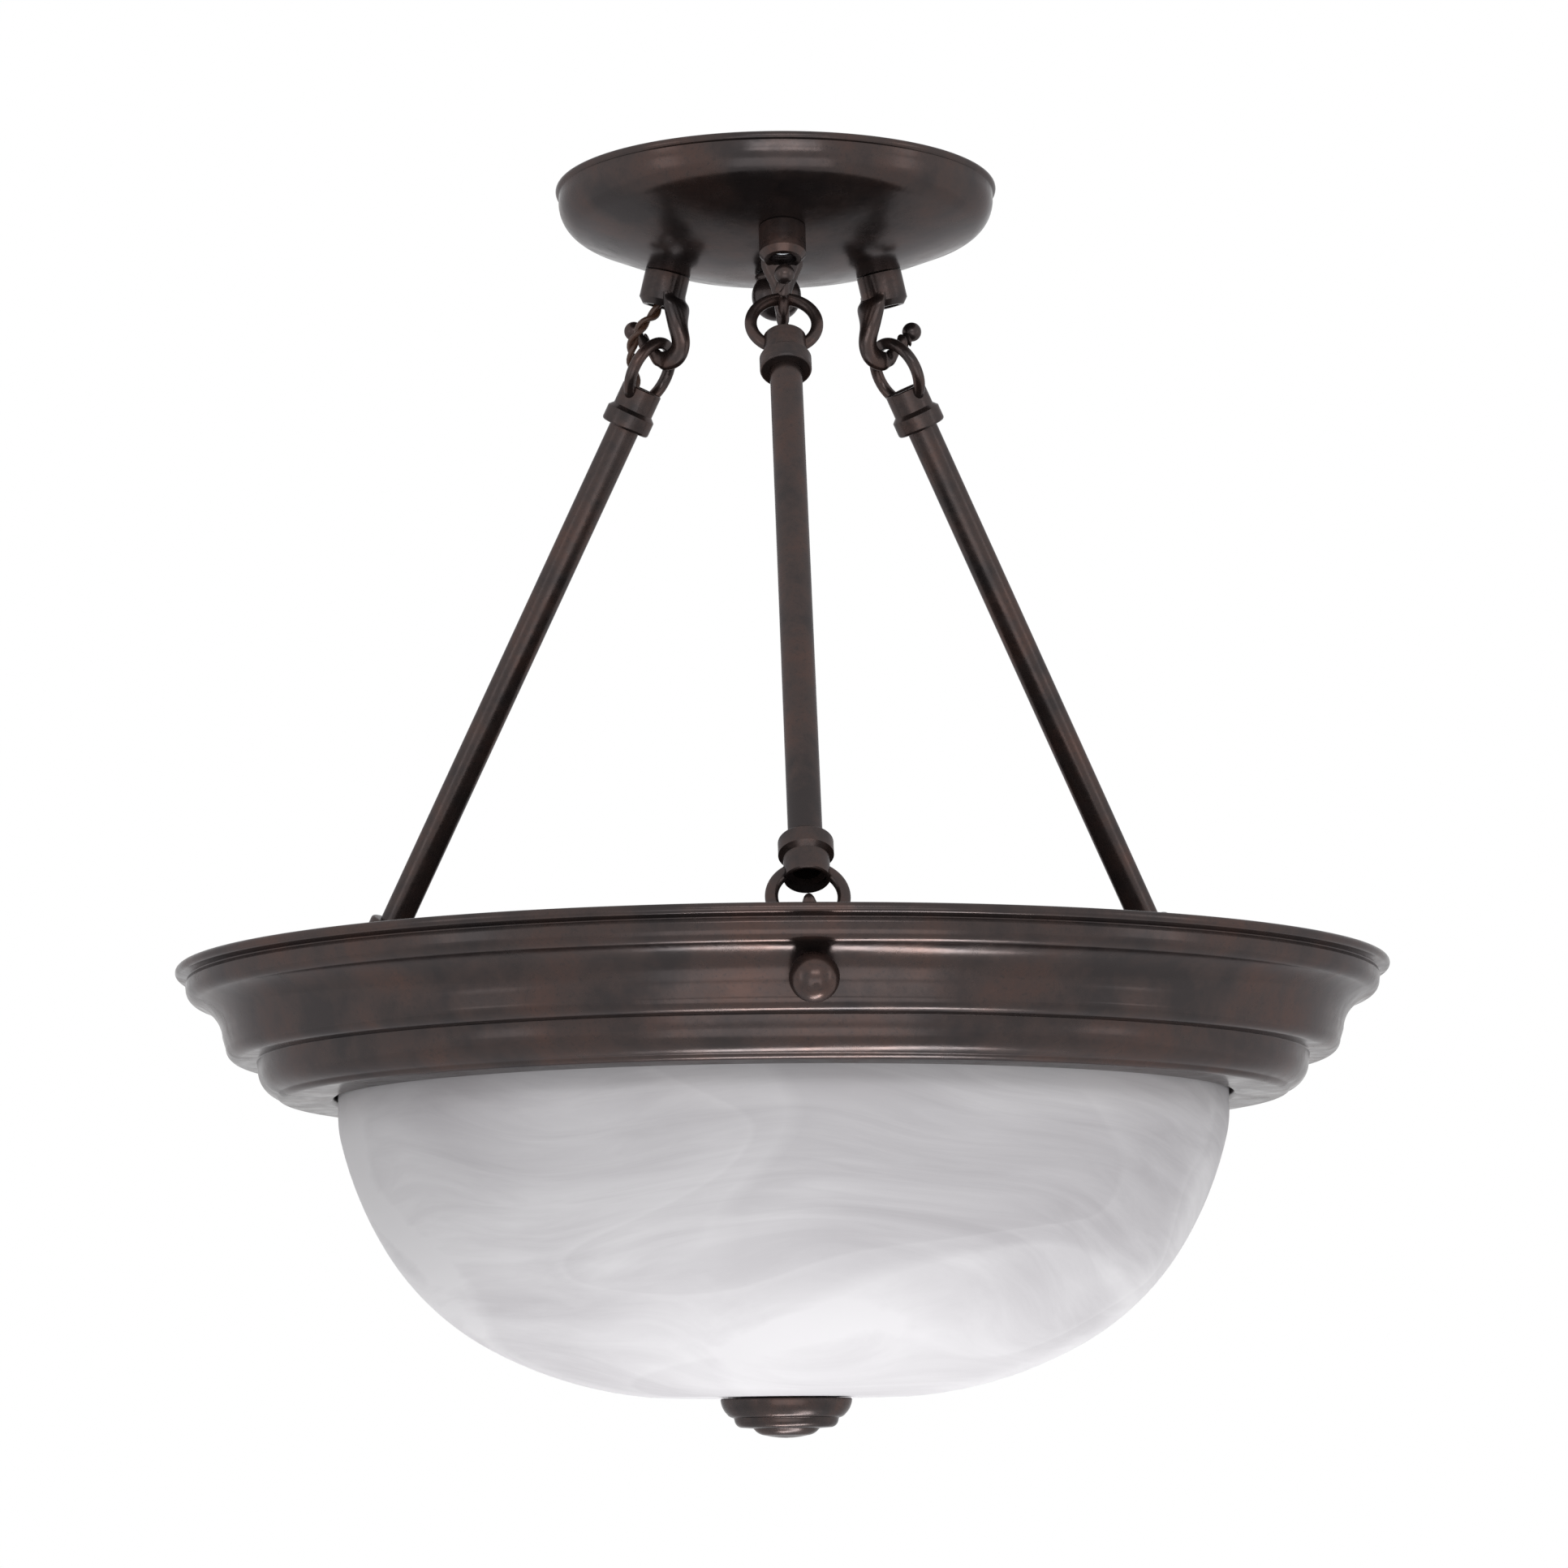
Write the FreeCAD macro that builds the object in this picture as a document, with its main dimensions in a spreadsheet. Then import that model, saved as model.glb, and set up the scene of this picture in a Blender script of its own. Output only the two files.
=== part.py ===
import FreeCAD
import Part
import Sketcher
import math
import os
from FreeCAD import Placement, Rotation, Vector

# Semi flush ceiling light: a spun canopy carries three cast hooks, three leaning rods with a
# cast ring loop at each end hang in them, and the loops carry a spun pan by three more hooks.
# The pan holds three lamp holders, and a threaded stem through the middle carries a glass bowl
# on a turned finial.  Origin: middle of the ceiling face, +Z up, -Y the front.

doc = FreeCAD.newDocument("semi_flush_ceiling_light")
sheet = doc.addObject("Spreadsheet::Sheet", "sizes")

SIZES = (
    # canopy and what screws it up
    ("canopy_radius", 71.2, "outside of the canopy wall"),
    ("canopy_depth", 29.1, "ceiling to the lowest point of the dome"),
    ("canopy_dome", 156.0, "radius of the dome"),
    ("canopy_corner", 11.0, "radius between wall and dome"),
    ("sheet_gauge", 1.2, "spun steel sheet"),
    ("strap_length", 108.0, "crossbar, end to end"),
    ("strap_width", 19.0, "crossbar width"),
    ("strap_gauge", 2.3, "crossbar thickness"),
    ("slot_middle", 39.7, "centre line to the middle of a slot"),
    ("slot_length", 23.0, "slot, end to end"),
    ("slot_width", 4.8, "slot width"),
    ("pipe_radius", 4.9, "threaded lamp pipe"),
    ("pipe_bore", 3.5, "wireway in the threaded pipe"),
    ("knob_radius", 8.1, "canopy ball knob"),
    # hooks
    ("hook_circle", 40.5, "radius of the hooks' circle on the dome"),
    ("collar_radius", 7.5, "hook collar"),
    ("collar_length", 11.2, "hook collar, base to open end"),
    ("seat_radius", 3.1, "inside of the hook's bend"),
    ("bend_radius", 7.6, "outside of the hook's bend"),
    ("tip_ball", 3.2, "ball on the hook's tip"),
    # rods and loops
    ("lean", 29.0, "rod from the vertical, degrees"),
    ("seat_circle", 42.2, "upper seats from the axis"),
    ("seat_drop", 47.15, "ceiling to the upper seats"),
    ("arm_length", 244.8, "upper seat to lower seat"),
    ("wire_radius", 1.95, "wire of the ring loops"),
    ("ring_radius", 10.55, "middle line of the ring loops"),
    ("neck_radius", 6.8, "loop neck"),
    ("flange_radius", 8.2, "loop flange"),
    ("rod_radius", 5.1, "rod"),
    ("rod_bore", 4.2, "bore of the rod"),
    # pan and glass
    ("pan_drop", 257.7, "ceiling to the top of the pan rim"),
    ("pan_radius", 193.7, "outside of the rolled rim"),
    ("pan_mouth", 143.2, "opening for the glass"),
    ("pan_floor", 31.0, "rim to the underside of the floor"),
    ("pan_foot", 41.8, "rim to the lowest face of the pan"),
    ("pan_hook_lean", 115.0, "pan hooks, turned from upright, degrees"),
    ("pan_knob", 7.3, "ball knobs on the pan"),
    ("glass_radius", 142.0, "glass bowl"),
    ("glass_wall", 4.0, "thickness of the glass"),
    ("glass_foot", 136.0, "rim plane to the underside of the glass"),
    ("finial_radius", 20.9, "largest step of the finial"),
    # lamp holders and lamps
    ("holder_drop", 68.0, "rim plane to the lamps' middle lines"),
    ("holder_start", 15.8, "axis to the back of a lamp holder"),
    ("holder_radius", 18.0, "lamp holder"),
    ("holder_length", 33.0, "lamp holder"),
    ("lamp_radius", 24.0, "lamp envelope"),
    ("lamp_length", 89.0, "lamp, contact to tip"),
    ("cap_radius", 13.1, "screw cap of a lamp"),
)
for line, (alias, value, meaning) in enumerate(SIZES, 1):
    sheet.set("A%d" % line, alias)
    sheet.set("B%d" % line, str(value))
    sheet.setAlias("B%d" % line, alias)
    sheet.set("C%d" % line, meaning)
doc.recompute()

ARMS = (("front", -90.0), ("right", 30.0), ("left", 150.0))
LAMPS = (("rear", 90.0), ("right", -30.0), ("left", 210.0))


def size(alias):
    """The value of one driving dimension."""
    return float(sheet.get(alias))


def bind(part, **formulas):
    """Ties properties of a part to the driving dimensions."""
    for name, formula in formulas.items():
        part.setExpression(name, formula)
    return part


# --- outlines ------------------------------------------------------------------------------
# An outline is a list of corners (radius, height) or (radius, height, arc radius).  The arc
# radius belongs to the run that ends in the corner: + turns left on the way, - turns right.
# A radius or height is a number or (alias, offset), which is tied to the driving dimension.


def number(value):
    """A plain number for a coordinate."""
    if isinstance(value, tuple):
        return size(value[0]) + value[1]
    return float(value)


def corner(spec):
    """A corner as plain numbers."""
    return Vector(number(spec[0]), number(spec[1]), 0)


def arc_middle(start, end, radius):
    """The point halfway along the arc of a signed radius between two corners."""
    chord = end - start
    side = 1.0 if radius > 0 else -1.0
    normal = Vector(-chord.y, chord.x, 0).normalize() * side
    rise = math.sqrt(max(radius * radius - chord.Length ** 2 / 4, 0.0))
    centre = start + chord * 0.5 + normal * rise
    return centre - normal * abs(radius)


def draw(sketch, outline):
    """Draws a closed outline in a sketch and fixes every corner and arc radius."""
    count = len(outline)
    first = None
    last = None
    for index in range(count):
        begin = outline[index]
        finish = outline[(index + 1) % count]
        start = corner(begin)
        end = corner(finish)
        radius = finish[2] if len(finish) > 2 else 0
        if radius:
            edge = Part.Arc(start, arc_middle(start, end, radius), end)
        else:
            edge = Part.LineSegment(start, end)
        geo = sketch.addGeometry(edge)
        head = 1 if (sketch.getPoint(geo, 1) - start).Length < 1e-6 else 2
        tail = 3 - head
        if last is None:
            first = (geo, head)
        else:
            sketch.addConstraint(Sketcher.Constraint("Coincident", last[0], last[1], geo, head))
        for kind, value in (("DistanceX", begin[0]), ("DistanceY", begin[1])):
            fixed = sketch.addConstraint(Sketcher.Constraint(kind, -1, 1, geo, head, number(value)))
            if isinstance(value, tuple):
                formula = "sizes.%s + (%.4f)" % value
                sketch.setExpression("Constraints[%d]" % fixed, formula)
        if radius:
            sketch.addConstraint(Sketcher.Constraint("Radius", geo, abs(radius)))
        last = (geo, tail)
    sketch.addConstraint(Sketcher.Constraint("Coincident", last[0], last[1], first[0], first[1]))


def plane(body, role):
    """One of a body's own origin planes."""
    for feature in body.Origin.OriginFeatures:
        if feature.Role == role:
            return feature
    raise RuntimeError("no plane " + role)


def turned(name, outline):
    """A body turned about the Z axis from a closed outline of its half section."""
    body = doc.addObject("PartDesign::Body", name)
    sketch = body.newObject("Sketcher::SketchObject", name + "_section")
    sketch.AttachmentSupport = (plane(body, "XZ_Plane"), [""])
    sketch.MapMode = "FlatFace"
    draw(sketch, outline)
    turn = body.newObject("PartDesign::Revolution", name + "_turn")
    turn.Profile = sketch
    turn.ReferenceAxis = (sketch, ["V_Axis"])
    turn.Angle = 360.0
    body.Tip = turn
    return body


def sheet_outline(path, gauge):
    """Closes an outline of sheet: the path, then its parallel on the right hand side."""
    points = [corner(spec) for spec in path]
    radii = [spec[2] if len(spec) > 2 else 0 for spec in path]
    headings = []
    for index in range(1, len(path)):
        chord = points[index] - points[index - 1]
        angle = math.atan2(chord.y, chord.x)
        half = math.asin(chord.Length / 2 / radii[index]) if radii[index] else 0.0
        headings.append((angle - half, angle + half))
    back = []
    for index, point in enumerate(points):
        ways = []
        if index > 0:
            ways.append(headings[index - 1][1])
        if index < len(headings):
            ways.append(headings[index][0])
        rights = [Vector(math.sin(way), -math.cos(way), 0) for way in ways]
        middle = rights[0] if len(rights) == 1 else (rights[0] + rights[1]) / (1 + rights[0].dot(rights[1]))
        moved = point + middle * gauge
        coordinates = []
        for given, plain, new in ((path[index][0], point.x, moved.x), (path[index][1], point.y, moved.y)):
            if isinstance(given, tuple):
                coordinates.append((given[0], given[1] + new - plain))
            else:
                coordinates.append(new)
        back.append(tuple(coordinates))
    outline = list(path)
    outline.append(back[-1])
    for index in range(len(back) - 2, -1, -1):
        radius = radii[index + 1]
        if radius:
            outline.append(back[index] + (-(radius + gauge),))
        else:
            outline.append(back[index])
    return outline


def arc_run(start, heading, runs):
    """Corners of arcs that follow each other smoothly: heading in degrees inward from straight
    down, runs of (radius, heading at the end)."""
    radius_here, height_here = start
    corners = []
    for bend, ahead in runs:
        before = math.radians(heading)
        after = math.radians(ahead)
        radius_here -= bend * (math.cos(before) - math.cos(after))
        height_here -= bend * (math.sin(after) - math.sin(before))
        corners.append((radius_here, height_here, -bend))
        heading = ahead
    return corners


# --- primitives and copies -----------------------------------------------------------------


def cylinder(name, radius, height, place=None):
    """A cylinder: radius and height are formulas."""
    part = doc.addObject("Part::Cylinder", name)
    bind(part, Radius=radius, Height=height)
    if place:
        part.Placement = place
    return part


def join(name, *parts):
    """One solid from several."""
    whole = doc.addObject("Part::MultiFuse", name)
    whole.Shapes = list(parts)
    return whole


def cut(name, base, *tools):
    """A part with others cut out of it."""
    tool = tools[0] if len(tools) == 1 else join(name + "_tools", *tools)
    rest = doc.addObject("Part::Cut", name)
    rest.Base = base
    rest.Tool = tool
    return rest


def copy_of(name, master, place):
    """A sub-part that repeats a master piece in its own place."""
    body = doc.addObject("PartDesign::Body", name)
    clone = body.newObject("PartDesign::FeatureBase", name + "_copy")
    clone.BaseFeature = master
    body.Tip = clone
    body.Placement = place
    return body


def formed(name, shape, place=None):
    """A sub-part whose shape comes from a sweep or loft."""
    part = doc.addObject("Part::Feature", name)
    part.Shape = shape
    if place:
        part.Placement = place
    return part


def in_arm(azimuth, radius, height, tilt=0.0):
    """A place in the upright plane of one arm: X outward, Y sideways, tilted about Y."""
    turn = Rotation(Vector(0, 0, 1), azimuth)
    return Placement(turn.multVec(Vector(radius, 0, height)), turn * Rotation(Vector(0, 1, 0), tilt))


def along(place, distance):
    """The place moved along its own Z."""
    return place * Placement(Vector(0, 0, distance), Rotation())


def ball_width(radius, height):
    """Radius of a ball's section at a height from its middle."""
    return math.sqrt(radius ** 2 - height ** 2)


# --- canopy and its fastenings -------------------------------------------------------------

dome_top = size("canopy_dome") - size("canopy_depth")  # height of the dome's centre
corner_offset = size("canopy_radius") - size("canopy_corner")
dome_gap = size("canopy_dome") - size("canopy_corner")
corner_height = dome_top - math.sqrt(dome_gap ** 2 - corner_offset ** 2)
blend_radius = corner_offset * size("canopy_dome") / dome_gap
blend_height = dome_top - (dome_top - corner_height) * size("canopy_dome") / dome_gap
pipe_hole = size("pipe_radius") + 0.3
hole_height = dome_top - math.sqrt(size("canopy_dome") ** 2 - pipe_hole ** 2)
BEAD = 1.35  # rolled edge against the ceiling

canopy_path = [
    (("canopy_radius", 0), -2 * BEAD + 0.1, -BEAD),
    (("canopy_radius", 0), corner_height),
    (blend_radius, blend_height, -size("canopy_corner")),
    (pipe_hole, hole_height, -size("canopy_dome")),
]
canopy_outline = sheet_outline(canopy_path, size("sheet_gauge"))
canopy_outline.append((("canopy_radius", -size("sheet_gauge")), 0))
canopy_outline.append((("canopy_radius", 0), 0))
canopy_blank = turned("canopy_blank", canopy_outline)

hook_slope = math.degrees(math.asin(size("hook_circle") / size("canopy_dome")))
hook_height = dome_top - math.sqrt(size("canopy_dome") ** 2 - size("hook_circle") ** 2)
canopy_holes = []
for side, azimuth in ARMS:
    place = in_arm(azimuth, size("hook_circle"), hook_height, -hook_slope)
    through = along(place, -4.0)
    canopy_holes.append(
        cylinder("canopy_hole_" + side, "sizes.pipe_radius + 0.3", "sizes.sheet_gauge * 8", through)
    )
canopy = cut("canopy", canopy_blank, *canopy_holes)

# steel strap that screws to the outlet box, with a tapped hole in the middle and two slots
strap = doc.addObject("Part::Box", "strap")
bind(strap, Length="sizes.strap_length", Width="sizes.strap_width", Height="sizes.strap_gauge")
strap.Placement = Placement(
    Vector(-size("strap_length") / 2, -size("strap_width") / 2, -size("strap_gauge")), Rotation()
)
strap_corners = doc.addObject("Part::Fillet", "strap_rounded")
strap_corners.Base = strap
doc.recompute()
upright_edges = []
for index, edge in enumerate(strap.Shape.Edges, 1):
    if abs(edge.tangentAt(edge.FirstParameter).z) > 0.99:
        upright_edges.append((index, 5.0, 5.0))
strap_corners.Edges = upright_edges
UNDER_STRAP = -5.0  # where the tools that pierce the strap start
GROUND_HOLE = 16.0  # middle to the ground screw
tap_place = Placement(Vector(0, 0, UNDER_STRAP), Rotation())
ground_place = Placement(Vector(GROUND_HOLE, 0, UNDER_STRAP), Rotation())
strap_tools = [
    cylinder("strap_tap", "sizes.pipe_radius + 0.05", "10", tap_place),
    cylinder("strap_ground", "2.1", "10", ground_place),
]
for side in (-1, 1):
    slot = doc.addObject("Part::Box", "slot_box_%d" % (side + 1))
    bind(slot, Length="sizes.slot_length - sizes.slot_width", Width="sizes.slot_width", Height="10")
    run = size("slot_length") - size("slot_width")
    slot.Placement = Placement(
        Vector(side * size("slot_middle") - run / 2, -size("slot_width") / 2, UNDER_STRAP), Rotation()
    )
    strap_tools.append(slot)
    for end in (-1, 1):
        spot = Vector(side * size("slot_middle") + end * run / 2, 0, UNDER_STRAP)
        name = "slot_end_%d%d" % (side + 1, end + 1)
        strap_tools.append(cylinder(name, "sizes.slot_width / 2", "10", Placement(spot, Rotation())))
crossbar = cut("crossbar", strap_corners, *strap_tools)

ground_screw = turned(
    "ground_screw",
    [
        (0, -size("strap_gauge") - 2.2),
        (2.6, -size("strap_gauge") - 2.2),
        (4.2, -size("strap_gauge") - 1.2, 1.9),
        (4.2, -size("strap_gauge")),
        (2.0, -size("strap_gauge")),
        (2.0, 0),
        (0, 0),
    ],
)
ground_screw.Placement = Placement(Vector(GROUND_HOLE, 0, 0), Rotation())


def pipe(name, length, place):
    """A length of threaded lamp pipe."""
    outer = cylinder(name + "_outside", "sizes.pipe_radius", length, place)
    inner = cylinder(name + "_wireway", "sizes.pipe_bore", length, place)
    return cut(name, outer, inner)


def nut(name, flats, thick, place):
    """A hexagon nut for the lamp pipe, bevelled on its free face."""
    prism = doc.addObject("Part::Prism", name + "_hexagon")
    prism.Polygon = 6
    bind(prism, Circumradius="%.3f" % (flats / math.sqrt(3)), Height=str(thick))
    cone = doc.addObject("Part::Cone", name + "_bevel")
    reach = flats / 2 + thick
    bind(cone, Radius1=str(reach), Radius2=str(flats / 2 * 0.97), Height=str(thick))
    bevelled = doc.addObject("Part::Common", name + "_blank")
    bevelled.Base = prism
    bevelled.Tool = cone
    hole = cylinder(name + "_hole", "sizes.pipe_radius + 0.05", str(thick))
    drilled = cut(name, bevelled, hole)
    drilled.Placement = place
    return drilled


NUT_FLATS = 14.0
NUT_THICK = 4.0
UPSIDE_DOWN = Rotation(Vector(1, 0, 0), 180)
knob_seat = -size("canopy_depth") - 0.3
centre_nipple = pipe("centre_nipple", "sizes.canopy_depth + 9.5", Placement(Vector(0, 0, 0), UPSIDE_DOWN))
crossbar_nut = nut(
    "crossbar_nut", NUT_FLATS, NUT_THICK, Placement(Vector(0, 0, -size("strap_gauge")), UPSIDE_DOWN)
)
knob_low = -44.2  # lowest point of the ball under the canopy
knob_shoulder = knob_seat - 1.9
ball_middle = knob_low + size("knob_radius")
canopy_knob = turned(
    "canopy_knob",
    [
        (("pipe_radius", 0.05), knob_seat),
        (7.0, knob_seat),
        (7.0, knob_seat - 0.9),
        (ball_width(size("knob_radius"), knob_shoulder - ball_middle), knob_shoulder, -1.2),
        (0, knob_low, -size("knob_radius")),
        (0, knob_low + 4.0),
        (("pipe_radius", 0.05), knob_low + 5.0),
    ],
)

# --- hooks ---------------------------------------------------------------------------------
# A hook is drawn with its collar's base at the origin, the collar pointing down and the tip
# towards +X.  Its bend lies between an inner and an outer circle, so it is thickest where it
# carries the load and thins towards the tip.

SEAT_CENTRE = Vector(-4.6, 0, -22.5)  # middle of the bend's inner circle
BEND_CENTRE = Vector(-6.8, 0, -24.0)  # middle of the bend's outer circle
TIP_CENTRE = Vector(7.8, 0, -20.7)
BEND_HALF_WIDTH = 2.0
NECK_HALF = 1.55


def bend_section(angle):
    """Middle and half thickness of the bend, at an angle about the inner circle."""
    way = Vector(math.cos(math.radians(angle)), 0, math.sin(math.radians(angle)))
    gap = SEAT_CENTRE - BEND_CENTRE
    reach = -gap.dot(way) + math.sqrt(gap.dot(way) ** 2 - gap.dot(gap) + size("bend_radius") ** 2)
    inner = size("seat_radius")
    return SEAT_CENTRE + way * ((inner + reach) / 2), (reach - inner) / 2


def oval(middle, heading, half_thick, half_wide):
    """A smooth closed section square to the heading, which is degrees from +X in the XZ plane."""
    across = Vector(-math.sin(math.radians(heading)), 0, math.cos(math.radians(heading)))
    points = []
    for step in range(12):
        turn = math.tau * step / 12
        beside = Vector(0, half_wide * math.sin(turn), 0)
        points.append(middle + across * (half_thick * math.cos(turn)) + beside)
    curve = Part.BSplineCurve()
    curve.interpolate(points, PeriodicFlag=True)
    return Part.Wire([curve.toShape()])


def hook_shape(collar_start):
    """The cast hook, with its collar cut off square at a distance from the origin."""
    sections = [
        oval(Vector(-4.3, 0, -6.6), -104, 2.4, 6.6),
        oval(Vector(-5.7, 0, -9.6), -111, 3.1, 6.7),
        oval(Vector(-7.2, 0, -13.2), -113, 3.3, 5.3),
        oval(Vector(-8.6, 0, -17.0), -109, 3.2, 3.5),
    ]
    for angle, wide in ((178, 2.4), (205, BEND_HALF_WIDTH), (235, 2.0), (262, 2.0), (285, 1.9), (303, 1.8)):
        middle, thick = bend_section(angle)
        sections.append(oval(middle, angle + 90, thick, wide))
    last_middle = bend_section(303)[0]
    rise = TIP_CENTRE - last_middle
    tip_heading = math.degrees(math.atan2(rise.z, rise.x))
    sections.append(oval(last_middle + rise * 0.35, tip_heading, 1.75, 1.65))
    sections.append(oval(last_middle + rise * 0.65, tip_heading, NECK_HALF, NECK_HALF))
    sections.append(oval(last_middle + rise * 0.95, tip_heading, 2.2, 2.2))
    shank = Part.makeLoft(sections, True, False)
    ball = Part.makeSphere(size("tip_ball"), TIP_CENTRE)
    chamfer = 2.0
    body_length = size("collar_length") - chamfer - collar_start
    down = Vector(0, 0, -1)
    radius = size("collar_radius")
    collar = Part.makeCylinder(radius, body_length, Vector(0, 0, -collar_start), down)
    cone = Part.makeCone(radius, radius - 1.6, chamfer, Vector(0, 0, chamfer - size("collar_length")), down)
    bore = Part.makeCylinder(size("pipe_radius") + 0.05, size("collar_length"), Vector(0, 0, 1), down)
    mouth = Part.makeCylinder(size("pipe_radius") - 0.5, size("collar_length") + 1.2, Vector(0, 0, 1), down)
    solid = collar.fuse([cone, shank, ball]).removeSplitter()
    return solid.cut([bore, mouth])


PAN_HOOK_START = 1.44  # the pan hooks are faced shorter to sit against the pan's wall
ceiling_hook = formed("ceiling_hook_casting", hook_shape(0.0))
pan_hook = formed("pan_hook_casting", hook_shape(PAN_HOOK_START))

NIPPLE_LENGTH = 15.0
hook_nipples = []
hook_nuts = []
for side, azimuth in ARMS:
    place = in_arm(azimuth, size("hook_circle"), hook_height, -hook_slope)
    copy_of("ceiling_hook_" + side, ceiling_hook, place)
    hook_nipples.append(pipe("hook_nipple_" + side, str(NIPPLE_LENGTH), along(place, -7.5)))
    hook_nuts.append(nut("hook_nut_" + side, NUT_FLATS, 3.2, along(place, size("sheet_gauge") + 0.22)))


def group(name, *parts):
    """Like fasteners kept together as one set of separate solids."""
    bundle = doc.addObject("Part::Compound", name)
    bundle.Links = list(parts)
    return bundle


group("hook_nipples", *hook_nipples)
group("hook_nuts", *hook_nuts)

# --- rods and ring loops -------------------------------------------------------------------
# A loop is drawn with the middle of its ring's wire, where it hangs, at the origin, and with
# the rod's line as +Z.  The ring lies in the YZ plane.

MOUTH = 16.5  # seat to the loop's open end
NECK_END = 24.1
FLANGE_START = 25.5
FLANGE_END = 30.8
ROD_STOP = 22.4  # seat to the rod's end inside the loop

loop_barrel = turned(
    "loop_barrel",
    [
        (("neck_radius", -1.1), MOUTH),
        (("neck_radius", -0.35), MOUTH),
        (("neck_radius", 0), MOUTH + 0.4),
        (("neck_radius", 0), NECK_END),
        (("flange_radius", 0), FLANGE_START),
        (("flange_radius", 0), FLANGE_END - 1.0),
        (("flange_radius", -1.0), FLANGE_END, 1.0),
        (("rod_radius", 0.03), FLANGE_END),
        (("rod_radius", 0.03), ROD_STOP),
        (("rod_bore", 0), ROD_STOP),
        (("rod_bore", 0), MOUTH + 3.4),
        (("neck_radius", -1.1), MOUTH + 2.4),
    ],
)
ring = doc.addObject("Part::Torus", "loop_ring")
bind(ring, Radius1="sizes.ring_radius", Radius2="sizes.wire_radius")
ring.Placement = Placement(Vector(0, 0, size("ring_radius")), Rotation(Vector(0, 1, 0), 90))
ring_clear = turned(
    "ring_clearance",
    [
        (0, MOUTH - 2.5),
        (("neck_radius", -1.1), MOUTH - 1.0),
        (("neck_radius", -1.1), MOUTH + 2.4),
        (("rod_bore", 0), MOUTH + 3.4),
        (("rod_bore", 0), FLANGE_END),
        (0, FLANGE_END),
    ],
)
ring_legs = cut("ring_legs", ring, ring_clear)
loop = join("loop_casting", loop_barrel, ring_legs)

rod_blank = cylinder("rod_blank", "sizes.rod_radius", "sizes.arm_length - 2 * %.1f" % ROD_STOP)
rod_core = cylinder("rod_core", "sizes.rod_bore", "sizes.arm_length - 2 * %.1f" % ROD_STOP)
rod = cut("rod_stock", rod_blank, rod_core)

lean = size("lean")
sine = math.sin(math.radians(lean))
cosine = math.cos(math.radians(lean))
low_circle = size("seat_circle") + size("arm_length") * sine
low_drop = size("seat_drop") + size("arm_length") * cosine
for side, azimuth in ARMS:
    high = in_arm(azimuth, size("seat_circle"), -size("seat_drop"), 180 - lean)
    low = in_arm(azimuth, low_circle, -low_drop, -lean)
    copy_of("upper_loop_" + side, loop, high)
    copy_of("lower_loop_" + side, loop, low)
    copy_of("rod_" + side, rod, along(low, ROD_STOP))

# --- pan -----------------------------------------------------------------------------------

RIM = -size("pan_drop")  # height of the pan's top edge


def below_rim(outline):
    """The same outline lowered from the rim plane to its place."""
    lowered = []
    for spec in outline:
        height = spec[1]
        if isinstance(height, tuple):
            raise RuntimeError("heights under the rim are plain numbers")
        lowered.append((spec[0], RIM + height) + tuple(spec[2:]))
    return lowered


FOOT = -size("pan_foot")
FLOOR = -size("pan_floor")
pan_path = [
    (("pan_radius", -3.7), -3.7),
    (("pan_radius", -3.2), -5.2),
    (("pan_radius", -3.4), -7.0),
    (("pan_radius", -6.8), -11.0, -4.3),
    (("pan_radius", -15.1), -22.0, 12.6),
    (("pan_radius", -16.1), -25.2),
    (("pan_radius", -20.1), -29.4, -4.4),
    (("pan_radius", -25.9), -29.4),
    (("pan_radius", -26.3), -32.6),
    (("pan_radius", -32.1), FOOT + 1.6, -8.6),
    (("pan_radius", -34.7), FOOT, -3.4),
    (("pan_mouth", 1.6), FOOT),
    (("pan_mouth", 0), FOOT + 1.6, -1.6),
    (("pan_mouth", 0), FLOOR),
    (("pipe_radius", 0.3), FLOOR),
]
pan_outline = sheet_outline(pan_path, size("sheet_gauge"))
pan_outline += [
    (("pan_radius", -4.9), -1.5),
    (("pan_radius", -3.4), 0, -1.5),
    (("pan_radius", -1.5), 0),
    (("pan_radius", 0), -1.5, -1.5),
    (("pan_radius", -1.5), -3.0, -1.5),
]
pan_blank = turned("pan_blank", below_rim(pan_outline))

# the pan hooks: same casting, turned over so that its bend bears down on the ring's wire
SEAT_SHIFT = 0.6  # the ring bears off the middle of the hook's bend
hook_turn = math.radians(size("pan_hook_lean"))
seat_in_plane = Vector(low_circle + SEAT_SHIFT * sine, 0, -low_drop - SEAT_SHIFT * cosine)
tilted_seat = Rotation(Vector(0, 1, 0), size("pan_hook_lean")).multVec(SEAT_CENTRE)
pan_hook_base = seat_in_plane - tilted_seat
pan_tools = []
knobs = []
grommet_azimuth = ARMS[2][1]
GROMMET_CIRCLE = 124.0
GROMMET_HOLE = 5.0
KNOB_SEAT = 1.24  # along the hook's line, from its base to the outside of the pan's wall
KNOB_SKIRT = 5.2
STUD_END = -6.5
skirt_top = KNOB_SEAT + 0.7
knob_tip = skirt_top + ball_width(size("pan_knob"), KNOB_SKIRT) + size("pan_knob")
knob_master = turned(
    "pan_knob_master",
    [
        (0, STUD_END),
        (("pipe_radius", -0.5), STUD_END),
        (("pipe_radius", 0), STUD_END + 0.5),
        (("pipe_radius", 0), KNOB_SEAT),
        (KNOB_SKIRT, KNOB_SEAT),
        (KNOB_SKIRT, skirt_top),
        (0, knob_tip, size("pan_knob")),
    ],
)
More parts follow.
